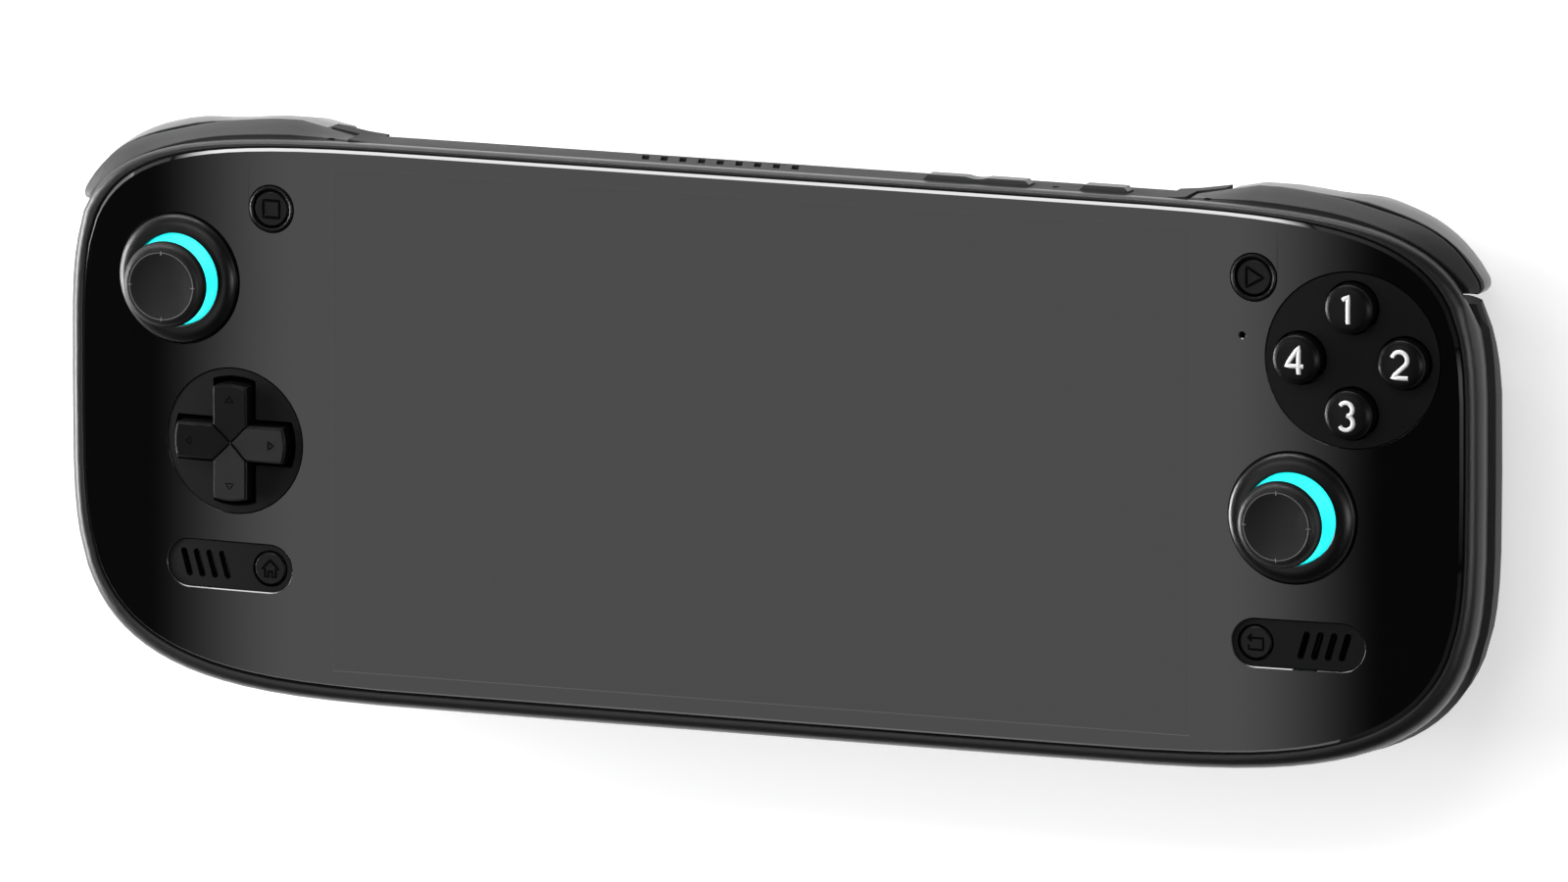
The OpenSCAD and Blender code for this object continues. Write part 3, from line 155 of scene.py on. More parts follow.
@dataclass(frozen=True)
class Finish:
    """A plain finish with fine grain.

    Attributes:
        base: Linear base colour.
        rough: Mean roughness.
        spread: How much the grain changes colour and roughness.
        grain: Grains per metre.
        bump: Height of the grain in metres.
        metal: Share of metal.
        shine: Strength of the surface reflection, 0.5 for common plastic.
        painted_light: Painted shade or painted highlight under the front, if any.
        dish: Hollow of its flat top, if any.
        ior: Index of refraction, which sets how much the surface shines at a low angle.
    """

    base: Colour
    rough: float
    spread: float = 0.2
    grain: float = 6000.0
    bump: float = 0.0
    metal: float = 0.0
    shine: float = 0.5
    painted_light: Optional[PaintedLightBand] = None
    dish: Optional[Dish] = None
    ior: float = 1.5


FINISHES: Dict[Surface, Finish] = {
    # painted highlight: the frame is made lighter within its first millimetre or so under the glass, along
    # its front bead
    Surface.SANDED: Finish((0.006, 0.006, 0.0064), 0.34, 0.35, 7000.0, 0.000016, shine=0.4,
                           painted_light=PaintedLightBand(1.2, 2.0, 1.4)),
    Surface.SHELL: Finish((0.032, 0.032, 0.033), 0.55, 0.35, 7000.0, 0.000016, ior=1.12),
    # painted shade: the bumpers are darkened near the front, where the rim of the frame shades them, and
    # shine less there
    Surface.KEY: Finish((0.03, 0.03, 0.031), 0.45, 0.35, 7000.0, 0.000014, ior=1.35,
                        painted_light=PaintedLightBand(3.55, 3.75, 0.15, -0.5)),
    # painted shade: the triggers are darkened where they lie nearer the front, next to the gap under the
    # bumpers
    Surface.TRIGGER: Finish((0.05, 0.05, 0.0515), 0.4, 0.35, 7000.0, 0.000014, ior=1.7,
                            painted_light=PaintedLightBand(7.5, 7.9, 0.1, -2.3)),
    Surface.EDGE_KEY: Finish((0.03, 0.03, 0.031), 0.42, 0.35, 7000.0, 0.000014),
    Surface.SATIN: Finish((0.003, 0.003, 0.0032), 0.4, 0.25, 9000.0, 0.000003, shine=0.2),
    Surface.COLLAR: Finish((0.003, 0.003, 0.0032), 0.3, 0.25, 9000.0, 0.000002, shine=0.3),
    Surface.BUTTON: Finish((0.003, 0.003, 0.0032), 0.34, 0.25, 9000.0, 0.000003, shine=0.13),
    Surface.CROSS: Finish((0.003, 0.003, 0.0032), 0.38, 0.25, 9000.0, 0.000003, shine=0.3,
                          dish=Dish(CROSS_PLACE, 0.22)),
    Surface.PLATE: Finish((0.006, 0.006, 0.0063), 0.6, 0.3, 9000.0, 0.000004, shine=0.12),
    Surface.RUBBER: Finish((0.005, 0.005, 0.0052), 0.45, 0.3, 11000.0, 0.000006, shine=0.3),
    # light grey of the painted highlight along the stick crests, shared by the four ticks
    Surface.CREST_HIGHLIGHT_AND_TICKS: Finish((0.12, 0.12, 0.122), 0.5, 0.2, 9000.0),
    Surface.GLASS_EDGE: Finish((0.1, 0.1, 0.1), 0.3, 0.1, 5000.0, 0.0, 1.0),
    Surface.PRINT: Finish((0.80, 0.80, 0.80), 0.5, 0.06, 5000.0),
    # near black for the icons and arrows, and painted shade along the creases of the direction cross
    Surface.ICON_AND_CREASE_SHADE: Finish((0.0012, 0.0012, 0.0013), 0.8, 0.2, 9000.0, shine=0.03),
    Surface.STEEL: Finish((0.55, 0.56, 0.58), 0.35, 0.12, 2500.0, 0.0, 1.0),
    Surface.ALUMINIUM: Finish((0.62, 0.63, 0.65), 0.4, 0.1, 1800.0, 0.0, 1.0),
    Surface.COPPER: Finish((0.72, 0.36, 0.2), 0.35, 0.12, 1500.0, 0.0, 1.0),
    Surface.BOARD: Finish((0.012, 0.12, 0.06), 0.4, 0.2, 900.0),
    Surface.WRAP: Finish((0.02, 0.02, 0.024), 0.45, 0.2, 1200.0),
    Surface.DARK: Finish((0.016, 0.016, 0.018), 0.5, 0.25, 3000.0),
    Surface.WHITE: Finish((0.7, 0.7, 0.68), 0.5, 0.08, 3000.0),
    Surface.SILICONE: Finish((0.22, 0.22, 0.23), 0.6, 0.12, 3000.0),
}


def droop(x: float) -> float:
    """Drop of the front at a distance from the middle.

    Args:
        x: Distance from the middle in millimetres.

    Returns:
        The drop in millimetres.
    """
    d = max(0.0, abs(x) - FLAT_HALF)
    return WING_R - math.sqrt(WING_R * WING_R - d * d)


def placed(name: str, data: bpy.types.ID) -> bpy.types.Object:
    """Makes an object and links it into the scene.

    Args:
        name: Name of the object.
        data: Its mesh, curve, lamp or camera.

    Returns:
        The new object.
    """
    made = bpy.data.objects.new(name, data)
    bpy.context.scene.collection.objects.link(made)
    return made


def body_of(node: str) -> str:
    """Finds the body of a node.

    Args:
        node: Name of the node.

    Returns:
        The name of its body.
    """
    bodies = frame["record"]["behaviour"]["bodies"]
    return next(name for name, nodes in bodies.items() if node in nodes)


def shade_soft(bm: bmesh.types.BMesh, crisp: AbstractSet[bmesh.types.BMFace] = frozenset()) -> None:
    """Shades faces as one where they meet at a small angle.

    Args:
        bm: The mesh.
        crisp: Faces that keep a crisp edge all round.
    """
    for face in bm.faces:
        face.smooth = True
    for edge in bm.edges:
        bound = math.radians(SOFT_ANGLE) if crisp.isdisjoint(edge.link_faces) else CRISP_ANGLE
        edge.smooth = len(edge.link_faces) == 2 and edge.calc_face_angle(0.0) < bound


class NodeGraph:
    """Thin helper to add and link shader nodes in one tree."""

    def __init__(self, tree: bpy.types.NodeTree) -> None:
        """Wraps a tree.

        Args:
            tree: The tree to fill.
        """
        self.tree = tree

    def add(self, kind: str, **settings: object) -> bpy.types.Node:
        """Adds a node.

        Args:
            kind: Type name of the node.
            **settings: Properties to set on it.

        Returns:
            The new node.
        """
        made = self.tree.nodes.new(kind)
        for key, value in settings.items():
            setattr(made, key, value)
        return made

    def math(self, how: str, first: object, second: object = 0.0) -> bpy.types.NodeSocket:
        """Adds a math node.

        Args:
            how: Operation.
            first: Socket or number.
            second: Socket or number.

        Returns:
            The result socket.
        """
        made = self.add("ShaderNodeMath", operation=how)
        self.feed(made.inputs[0], first)
        self.feed(made.inputs[1], second)
        return made.outputs[0]

    def vector(self, how: str, first: object, second: object = None) -> bpy.types.NodeSocket:
        """Adds a vector math node.

        Args:
            how: Operation.
            first: Socket or vector.
            second: Socket or vector, or the factor of a scale, where the operation takes one.

        Returns:
            The result socket.
        """
        made = self.add("ShaderNodeVectorMath", operation=how)
        self.feed(made.inputs[0], first)
        if second is not None:
            self.feed(made.inputs["Scale" if how == "SCALE" else 1], second)
        return made.outputs[0]

    def spot(self) -> bpy.types.NodeSocket:
        """Gives the place on the piece in its own coordinates.

        Returns:
            The place.
        """
        return self.add("ShaderNodeTexCoord").outputs["Object"]

    def split(self, vector: bpy.types.NodeSocket) -> List[bpy.types.NodeSocket]:
        """Splits a vector.

        Args:
            vector: The vector.

        Returns:
            Its three numbers.
        """
        made = self.add("ShaderNodeSeparateXYZ")
        self.feed(made.inputs[0], vector)
        return list(made.outputs)

    def ramp(self, value: object, start: float, end: float, before: float,
             after: float) -> bpy.types.NodeSocket:
        """Adds a smooth step.

        Args:
            value: Socket or number.
            start: Where the step starts.
            end: Where it ends.
            before: Result before it.
            after: Result after it.

        Returns:
            The result socket.
        """
        made = self.add("ShaderNodeMapRange", interpolation_type="SMOOTHSTEP")
        inputs = {"Value": value, "From Min": start, "From Max": end, "To Min": before, "To Max": after}
        for key, number in inputs.items():
            self.feed(made.inputs[key], number)
        return made.outputs[0]

    def feed(self, target: bpy.types.NodeSocket, value: object) -> None:
        """Links a socket or writes a constant.

        Args:
            target: Input to fill.
            value: Socket, number or tuple.
        """
        if isinstance(value, bpy.types.NodeSocket):
            self.tree.links.new(value, target)
        else:
            target.default_value = value


class FinishShop:
    """Makes the materials, which share a group for the grain and one for the depth."""

    def __init__(self) -> None:
        """Builds the shared groups first."""
        self.group = self._grain_group()
        self.depth = self._depth_group()
        self.made: Dict[Surface, bpy.types.Material] = {}

    def _grain_group(self) -> bpy.types.NodeTree:
        """Builds the group that gives tone, roughness and a bumped normal from fine noise.

        Returns:
            The group.
        """
        tree = bpy.data.node_groups.new("fine_grain", "ShaderNodeTree")
        face = tree.interface
        for name in ("Grain", "Spread", "Height"):
            face.new_socket(name=name, in_out="INPUT", socket_type="NodeSocketFloat")
        face.new_socket(name="Tone", in_out="OUTPUT", socket_type="NodeSocketFloat")
        face.new_socket(name="Rough", in_out="OUTPUT", socket_type="NodeSocketFloat")
        face.new_socket(name="Normal", in_out="OUTPUT", socket_type="NodeSocketVector")
        g = NodeGraph(tree)
        start, end = g.add("NodeGroupInput"), g.add("NodeGroupOutput")
        place = g.spot()
        fine = g.add("ShaderNodeTexNoise")
        g.feed(fine.inputs["Vector"], place)
        g.feed(fine.inputs["Scale"], start.outputs["Grain"])
        g.feed(fine.inputs["Detail"], 2.0)
        broad = g.add("ShaderNodeTexNoise")
        g.feed(broad.inputs["Vector"], place)
        g.feed(broad.inputs["Scale"], 45.0)
        mixed = g.math("ADD", g.math("MULTIPLY", fine.outputs[0], 0.75),
                       g.math("MULTIPLY", broad.outputs[0], 0.25))
        swing = g.math("MULTIPLY", g.math("SUBTRACT", mixed, 0.5),
                       g.math("MULTIPLY", start.outputs["Spread"], 3.0))
        g.feed(end.inputs["Tone"], g.math("ADD", swing, 1.0))
        g.feed(end.inputs["Rough"], g.math("MULTIPLY", swing, 0.25))
        bump = g.add("ShaderNodeBump")
        g.feed(bump.inputs["Strength"], 1.0)
        g.feed(bump.inputs["Distance"], start.outputs["Height"])
        g.feed(bump.inputs["Height"], fine.outputs[0])
        g.feed(end.inputs["Normal"], bump.outputs["Normal"])
        return tree

    def _depth_group(self) -> bpy.types.NodeTree:
        """Builds the group that gives the distance from the middle and the depth under the bent front.

        Returns:
            The group, whose results are in millimetres.
        """
        tree = bpy.data.node_groups.new("front_depth", "ShaderNodeTree")
        for name in ("Side", "Depth"):
            tree.interface.new_socket(name=name, in_out="OUTPUT", socket_type="NodeSocketFloat")
        g = NodeGraph(tree)
        x, _, z = g.split(g.spot())
        side = g.math("MULTIPLY", g.math("ABSOLUTE", x), 1.0 / MM)
        past = g.math("MAXIMUM", g.math("SUBTRACT", side, FLAT_HALF), 0.0)
        level = g.math("SQRT", g.math("SUBTRACT", WING_R * WING_R, g.math("MULTIPLY", past, past)))
        front = g.math("ADD", level, SCREEN.z / MM - WING_R)
        end = g.add("NodeGroupOutput")
        g.feed(end.inputs["Side"], side)
        g.feed(end.inputs["Depth"], g.math("SUBTRACT", front, g.math("MULTIPLY", z, 1.0 / MM)))
        return tree

    def _painted_light_tone(self, g: NodeGraph, painted_light: PaintedLightBand) -> bpy.types.NodeSocket:
        """Adds painted shade or painted highlight that changes with depth.

        Args:
            g: Graph of the material.
            painted_light: The change.

        Returns:
            The tone.
        """
        depth = g.add("ShaderNodeGroup")
        depth.node_tree = self.depth
        corner = g.ramp(depth.outputs["Side"], *CORNER_SPAN, 0.0, painted_light.corner)
        return g.ramp(g.math("SUBTRACT", depth.outputs["Depth"], corner), painted_light.near, painted_light.far, painted_light.tone, 1.0)

    def _hollow(self, g: NodeGraph, dish: Dish) -> bpy.types.NodeSocket:
        """Adds the normal of a shallow hollow over faces that look up.

        Args:
            g: Graph of the material.
            dish: The hollow.

        Returns:
            The normal.
        """
        middle = SCREEN + Vector((*dish.centre, 0.0)) * MM
        x, y, _ = g.split(g.vector("SUBTRACT", g.spot(), middle))
        upright = g.math("GREATER_THAN", g.math("ABSOLUTE", y), g.math("ABSOLUTE", x))
        across = g.math("MULTIPLY", g.math("SUBTRACT", upright, 1.0), dish.tilt)
        along = g.math("MULTIPLY", upright, -dish.tilt)
        facet = g.add("ShaderNodeCombineXYZ")
        g.feed(facet.inputs[0], g.math("MULTIPLY", g.math("SIGN", x), across))
        g.feed(facet.inputs[1], g.math("MULTIPLY", g.math("SIGN", y), along))
        g.feed(facet.inputs[2], 1.0)
        shown = g.add("ShaderNodeNewGeometry").outputs["Normal"]
        level = g.ramp(g.split(shown)[2], 0.9, 0.97, 0.0, 1.0)
        turn = g.vector("SCALE", g.vector("SUBTRACT", facet.outputs[0], shown), level)
        return g.vector("NORMALIZE", g.vector("ADD", shown, turn))

    def get(self, kind: Surface) -> bpy.types.Material:
        """Gives the material of a surface, made on first use.

        Args:
            kind: The surface.

        Returns:
            Its material.
        """
        if kind not in self.made:
            special = {Surface.GLASS: self._glass, Surface.PANEL: self._panel, Surface.LIGHT: self._light}
            self.made[kind] = special[kind]() if kind in special else self._plain(kind, FINISHES[kind])
        return self.made[kind]

    def _blank(self, name: str) -> Tuple[bpy.types.Material, NodeGraph, bpy.types.Node]:
        """Starts a node material.

        Args:
            name: Name of the material.

        Returns:
            The material, its graph and its shader node.
        """
        made = bpy.data.materials.new(name)
        made.use_nodes = True
        g = NodeGraph(made.node_tree)
        return made, g, made.node_tree.nodes["Principled BSDF"]

    def _grained(self, g: NodeGraph, shader: bpy.types.Node, finish: Finish) -> bpy.types.Node:
        """Adds the grain group and ties tone, roughness and normal to the shader.

        Args:
            g: Graph of the material.
            shader: Its shader node.
            finish: The finish.

        Returns:
            The group node.
        """
        grain = g.add("ShaderNodeGroup")
        grain.node_tree = self.group
        g.feed(grain.inputs["Grain"], finish.grain)
        g.feed(grain.inputs["Spread"], finish.spread)
        g.feed(grain.inputs["Height"], finish.bump)
        tone = grain.outputs["Tone"]
        shine: object = finish.shine
        # painted shade or highlight scales the tone; where it darkens, the shine drops with it
        if finish.painted_light is not None:
            painted_light = self._painted_light_tone(g, finish.painted_light)
            tone = g.math("MULTIPLY", tone, painted_light)
            shine = g.math("MULTIPLY", g.math("MINIMUM", painted_light, 1.0), finish.shine)
        g.feed(shader.inputs["Specular IOR Level"], shine)
        g.feed(shader.inputs["IOR"], finish.ior)
        g.feed(shader.inputs["Base Color"], g.vector("SCALE", finish.base, tone))
        g.feed(shader.inputs["Roughness"], g.math("ADD", grain.outputs["Rough"], finish.rough))
        if finish.dish is not None:
            g.feed(shader.inputs["Normal"], self._hollow(g, finish.dish))
        elif finish.bump > 0.0:
            g.feed(shader.inputs["Normal"], grain.outputs["Normal"])
        return grain

    def _plain(self, kind: Surface, finish: Finish) -> bpy.types.Material:
        """Makes a grained material.

        Args:
            kind: The surface.
            finish: Its numbers.

        Returns:
            The material.
        """
        made, g, shader = self._blank(kind.value)
        self._grained(g, shader, finish)
        g.feed(shader.inputs["Metallic"], finish.metal)
        return made

    def _glass(self) -> bpy.types.Material:
        """Makes the black-backed cover glass with a true normal over its bend and a faint painted glow that
        marks the picture area.

        Returns:
            The material.
        """
        made, g, shader = self._blank("cover_glass")
        self._grained(g, shader, Finish((0.0012, 0.0012, 0.0013), 0.03, 0.15, 300.0))
        x, y, _ = g.split(g.spot())
        past = g.math("MAXIMUM", g.math("SUBTRACT", g.math("ABSOLUTE", x), FLAT_HALF * MM), 0.0)
        sine = g.math("MULTIPLY", g.math("DIVIDE", past, WING_R * MM), g.math("SIGN", x))
        cosine = g.math("SQRT", g.math("SUBTRACT", 1.0, g.math("MULTIPLY", sine, sine)))
        true_normal = g.add("ShaderNodeCombineXYZ")
        g.feed(true_normal.inputs[0], sine)
        g.feed(true_normal.inputs[2], cosine)
        shown = g.add("ShaderNodeNewGeometry").outputs["Normal"]
        pick = g.add("ShaderNodeMix", data_type="VECTOR")
        g.feed(pick.inputs[0], g.math("GREATER_THAN", g.split(shown)[2], 0.95))
        g.feed(pick.inputs[4], shown)
        g.feed(pick.inputs[5], true_normal.outputs[0])
        g.feed(shader.inputs["Normal"], pick.outputs[1])
        self._picture_glow(g, shader, x, y)
        return made

    def _picture_glow(self, g: NodeGraph, shader: bpy.types.Node, x: bpy.types.NodeSocket,
                 y: bpy.types.NodeSocket) -> None:
        """Adds a painted glow to the glass: faint all over, fainter over the picture area, with a painted
        light line along the picture edge that is strongest at its lower edge.

        Args:
            g: Graph of the material.
            shader: Its shader node.
            x: Place along the width.
            y: Place along the height.
        """
        half_width, half_height = (half * MM for half in PICTURE_HALF)
        # painted glow: a faint even glow, less of it over the picture area, and a brighter painted line along
        # the picture edge, most at the bottom
        ground, picture, edge, low_edge_glow = 0.0014, -0.0012, 0.004, 0.03
        rise = g.math("SUBTRACT", y, SCREEN.y)
        across = g.math("SUBTRACT", g.math("ABSOLUTE", x), half_width)
        along = g.math("SUBTRACT", g.math("ABSOLUTE", rise), half_height)
        outside = g.math("MAXIMUM", across, along)
        inside = g.math("LESS_THAN", outside, 0.0)
        rim = g.math("LESS_THAN", g.math("ABSOLUTE", outside), 0.07 * MM)
        low = g.math("LESS_THAN", rise, 0.15 * MM - half_height)
        line = g.math("MULTIPLY", rim, g.math("ADD", g.math("MULTIPLY", low, low_edge_glow), edge))
        glow = g.math("ADD", g.math("MULTIPLY", inside, picture), line)
        g.feed(shader.inputs["Emission Color"], (1.0, 1.0, 1.0, 1.0))
        g.feed(shader.inputs["Emission Strength"], g.math("MAXIMUM", g.math("ADD", glow, ground), 0.0))

    def _panel(self) -> bpy.types.Material:
        """Makes the dark display panel.

        Returns:
            The material.
        """
        made, g, shader = self._blank("display_panel")
        self._grained(g, shader, Finish((0.004, 0.004, 0.005), 0.2, 0.2, 4000.0))
        return made

    def _light(self) -> bpy.types.Material:
        """Makes the lit ring.

        Returns:
            The material.
        """
        made, g, shader = self._blank("ring_light")
        grain = self._grained(g, shader, Finish((0.05, 0.5, 0.5), 0.4, 0.08, 500.0))
        g.feed(shader.inputs["Emission Color"], (0.012, 1.0, 1.0, 1.0))
        g.feed(shader.inputs["Emission Strength"], grain.outputs["Tone"])
        return made


@dataclass(frozen=True)
class Ease:
    """A small bevel on the front edges of a piece.

    Attributes:
        width: Its width in millimetres.
        steps: Number of its steps.
        clear: Radius in millimetres round the middle of the piece that is left sharp.
    """

    width: float
    steps: int = 2
    clear: float = 0.0


@dataclass
class SoftCopies:
    """Copies of frame pieces with merged corners and soft shading, which stand in for the faceted ones.

    Attributes:
        shop: Source of the materials.
        looks: Surface of each node.
        eased: Small bevel on the front edges of some nodes.
    """

    shop: FinishShop
    looks: Dict[str, Surface]
    eased: Dict[str, Ease] = field(default_factory=dict)
    made: List[bpy.types.Object] = field(default_factory=list)

    def build(self) -> None:
        """Makes all the copies."""
        for node, kind in self.looks.items():
            made = self._copy(node, self.eased.get(node))
            made.data.materials.append(self.shop.get(kind))
            if kind is Surface.GLASS:
                made.data.materials.append(self.shop.get(Surface.GLASS_EDGE))
            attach(made, body_of(node))
            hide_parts(node)
            self.made.append(made)
        LOG.info("%d soft copies", len(self.made))

    def _copy(self, node: str, ease: Optional[Ease]) -> bpy.types.Object:
        """Copies one node with merged corners.

        Args:
            node: Name of the node.
            ease: Small bevel on its front edges, if it has one.

        Returns:
            The new object.
        """
        mesh = bpy.data.meshes.new(f"{node}_soft")
        bm = bmesh.new()
        bm.from_mesh(frame["nodes"][node].data)
        bmesh.ops.remove_doubles(bm, verts=bm.verts, dist=MERGE)
        bmesh.ops.dissolve_degenerate(bm, edges=bm.edges, dist=1e-6)
        bmesh.ops.recalc_face_normals(bm, faces=bm.faces)
        for face in bm.faces:
            face.material_index = 0
        if ease is not None:
            self._ease(bm, node, ease)
        level = [f for f in bm.faces if f.normal.z > 0.9999 and f.calc_area() > 1.5 * MM * MM]
        shade_soft(bm, frozenset(level if ease is not None else ()))
        bm.to_mesh(mesh)
        bm.free()
        return placed(f"{node}_soft", mesh)

    @staticmethod
    def _rims_front(edge: bmesh.types.BMEdge) -> bool:
        """Says whether an edge lies between the front of a piece and an upright wall.

        Args:
            edge: The edge.

        Returns:
            True if it does.
        """
        tilts = sorted(face.normal.z for face in edge.link_faces)
        return len(tilts) == 2 and tilts[1] > 0.95 and abs(tilts[0]) < 0.3

    def _ease(self, bm: bmesh.types.BMesh, node: str, ease: Ease) -> None:
        """Bevels the edges between the front of a piece and its upright walls.

        Args:
            bm: Mesh of the piece.
            node: Name of its node.
            ease: The bevel.
        """
        bmesh.ops.dissolve_limit(bm, angle_limit=math.radians(0.2), verts=bm.verts, edges=bm.edges)
        low, high = (Vector(corner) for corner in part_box(node))
        middle = ((low + high) / 2).xy
        front = [e for e in bm.edges if self._rims_front(e)
                 and min((v.co.xy - middle).length for v in e.verts) > ease.clear * MM]
        cut = bmesh.ops.bevel(bm, geom=front, offset=ease.width * MM, offset_type="OFFSET", affect="EDGES",
                              segments=ease.steps, profile=0.5, material=-1, clamp_overlap=ease.clear > 0.0)
        for face in cut["faces"]:
            steep = 0.6 < face.normal.z < 0.8 and face.calc_area() < 0.5 * MM * MM
            face.material_index = 1 if self.looks[node] is Surface.GLASS and steep else 0


@dataclass
class StickCaps:
    """Rubber caps of the sticks, each turned from one profile, which stand for the faceted ones.

    Attributes:
        shop: Source of the materials.
        crest: Radius of the crest round the dish.
        widest: Radius of the widest part.
        height: Height of the crest over the front.
        depth: Depth of the dish.
    """

    shop: FinishShop
    crest: float = 5.0
    widest: float = 6.4
    height: float = CREST_HEIGHT
    depth: float = 0.55
    made: List[bpy.types.Object] = field(default_factory=list)

    def build(self) -> None:
        """Makes both caps."""
        for side, place in STICK_PLACES.items():
            node = f"{side}_stick_cap"
            made = self._turned(f"{node}_soft", place)
            made.data.materials.append(self.shop.get(Surface.RUBBER))
            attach(made, f"{side}_stick")
            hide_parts(node)
            self.made.append(made)
        LOG.info("%d stick caps", len(self.made))

    def _profile(self) -> List[Point2]:
        """Gives the half profile from the top of the bore round the outside to the middle of the dish.

        Returns:
            Radius and height of each point.
        """
        h, c, w = self.height, self.crest, self.widest
        below, above = 1.05, 1.75
        middle = h - above
        roof, foot, under = h - 1.35, -1.6, middle - below
        bore = [(0.0, roof), (1.52, roof), (1.52, foot), (2.0, foot), (2.0, 3.4), (2.7, under), (c, under)]
        turn = [math.radians(-90.0 + 15.0 * k) for k in range(1, 12)]
        flank = [(c + (w - c) * math.cos(a), middle + (below if a < 0.0 else above) * math.sin(a))
                 for a in turn]
        inner, lip = c - 0.2, h - 0.03
        shares = [1.0 - k / 10 for k in range(11)]
        dish = [(inner * s, lip - self.depth * (1.0 - s ** 2)) for s in shares]
        return [*bore, *flank, (c, h), *dish]

    def _turned(self, name: str, place: Point2) -> bpy.types.Object:
        """Turns the profile round the axis of a stick.

        Args:
            name: Name of the piece.
            place: Its middle in screen millimetres.

        Returns:
            The new object.
        """
        mesh = bpy.data.meshes.new(name)
        bm = bmesh.new()
        base = SCREEN + Vector((*place, -droop(place[0]))) * MM
        points = [bm.verts.new(base + Vector((r, 0.0, z)) * MM) for r, z in self._profile()]
        edges = [bm.edges.new(pair) for pair in zip(points, points[1:])]
        bmesh.ops.spin(bm, geom=[*points, *edges], cent=base, axis=(0.0, 0.0, 1.0), angle=2.0 * math.pi,
                       steps=96, use_merge=True)
        bmesh.ops.remove_doubles(bm, verts=bm.verts, dist=MERGE)
        bmesh.ops.recalc_face_normals(bm, faces=bm.faces)
        shade_soft(bm)
        bm.to_mesh(mesh)
        bm.free()
        return placed(name, mesh)


@dataclass
class PlainNodes:
    """Inner pieces that keep their frame mesh and only get a finish.

    Attributes:
        shop: Source of the materials.
        looks: Surface of each node.
    """

    shop: FinishShop
    looks: Dict[str, Surface]

    def build(self) -> None:
        """Gives each node its material."""
        for node, kind in self.looks.items():
            mesh = frame["nodes"][node].data
            mesh.materials.clear()
            mesh.materials.append(self.shop.get(kind))
        LOG.info("%d inner pieces finished", len(self.looks))


@dataclass(frozen=True)
class Stroke:
    """One stroke of a mark.

    Attributes:
        points: Path in millimetres around the middle of the mark.
        width: Width in millimetres.
        closed: True if the path comes back to its start.
    """

    points: Tuple[Point2, ...]
    width: float
    closed: bool = False


def arc(cx: float, cy: float, r: float, start: float, end: float, count: int = 14) -> Tuple[Point2, ...]:
    """Points on an arc.

    Args:
        cx: Middle across.
        cy: Middle along.
        r: Radius.
        start: First angle in degrees.
        end: Last angle in degrees.
        count: Number of steps.

    Returns:
        The points.
    """
    turn = [math.radians(start + (end - start) * k / count) for k in range(count + 1)]
    return tuple((cx + r * math.cos(a), cy + r * math.sin(a)) for a in turn)


def turned(points: Sequence[Point2], angle: float) -> Tuple[Point2, ...]:
    """Turns points round the middle of a mark.

    Args:
        points: The points.
        angle: The turn in degrees.

    Returns:
        The turned points.
    """
    c, s = math.cos(math.radians(angle)), math.sin(math.radians(angle))
    return tuple((x * c - y * s, x * s + y * c) for x, y in points)


@dataclass
class Mark:
    """A mark of thin strokes laid on a piece.

    Attributes:
        name: Name of the piece.
        body: Body that it rides on.
        slot_of: Not used.
        centre: Middle of the mark in screen millimetres.
        strokes: Strokes of the mark.
        height: Height of the surface under a place of the mark, in screen millimetres.
        kind: Its surface.
        rise: Height of a stroke as a share of its width.
    """

    name: str
    body: str
    slot_of: str
    centre: Point2
    strokes: Sequence[Stroke]
    height: Height
    kind: Surface
    rise: float = 0.3

    def build(self, shop: FinishShop) -> bpy.types.Object:
        """Makes the mark.

        Args:
            shop: Source of the materials.

        Returns:
            The new object.
        """
        mesh = self._swept()
        mesh.materials.append(shop.get(self.kind))
        made = placed(self.name, mesh)
        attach(made, self.body)
        return made

    def _swept(self) -> bpy.types.Mesh:
        """Sweeps the strokes as flat wires and lays them on the surface.

        Returns:
            The mesh in the row frame.
        """
        wire = bpy.data.curves.new(f"{self.name}_wire", "CURVE")
        wire.dimensions = "3D"
        wire.bevel_depth, wire.bevel_resolution, wire.use_fill_caps = 0.5, 1, True
        for stroke in self.strokes:
            path = self._dense(stroke)
            spline = wire.splines.new("POLY")
            spline.points.add(len(path) - 1)
            spline.use_cyclic_u = stroke.closed
            for point, p in zip(spline.points, path):
                point.co = (p.x, p.y, 0.0, 1.0)
                point.radius = stroke.width
        holder = placed(f"{self.name}_wire", wire)
        graph = bpy.context.evaluated_depsgraph_get()
        mesh = bpy.data.meshes.new_from_object(holder.evaluated_get(graph), depsgraph=graph)
        bpy.data.objects.remove(holder)
        for vertex in mesh.vertices:
            x, y, z = vertex.co
            level = self.height(x, y) + z * self.rise
            vertex.co = SCREEN + Vector((self.centre[0] + x, self.centre[1] + y, level)) * MM
        return mesh

    def _dense(self, stroke: Stroke) -> List[Vector]:
        """Adds points along long pieces of a stroke so that it follows the surface.

        Args:
            stroke: The stroke.

        Returns:
            The denser path.
        """
        points = [Vector(p) for p in stroke.points]
        ends = points[1:] + (points[:1] if stroke.closed else [])
        path: List[Vector] = []
        for a, b in zip(points, ends):
            steps = max(1, int((b - a).length / 0.5))
            path.extend(a.lerp(b, k / steps) for k in range(steps))
        if not stroke.closed:
            path.append(points[-1])
        return path


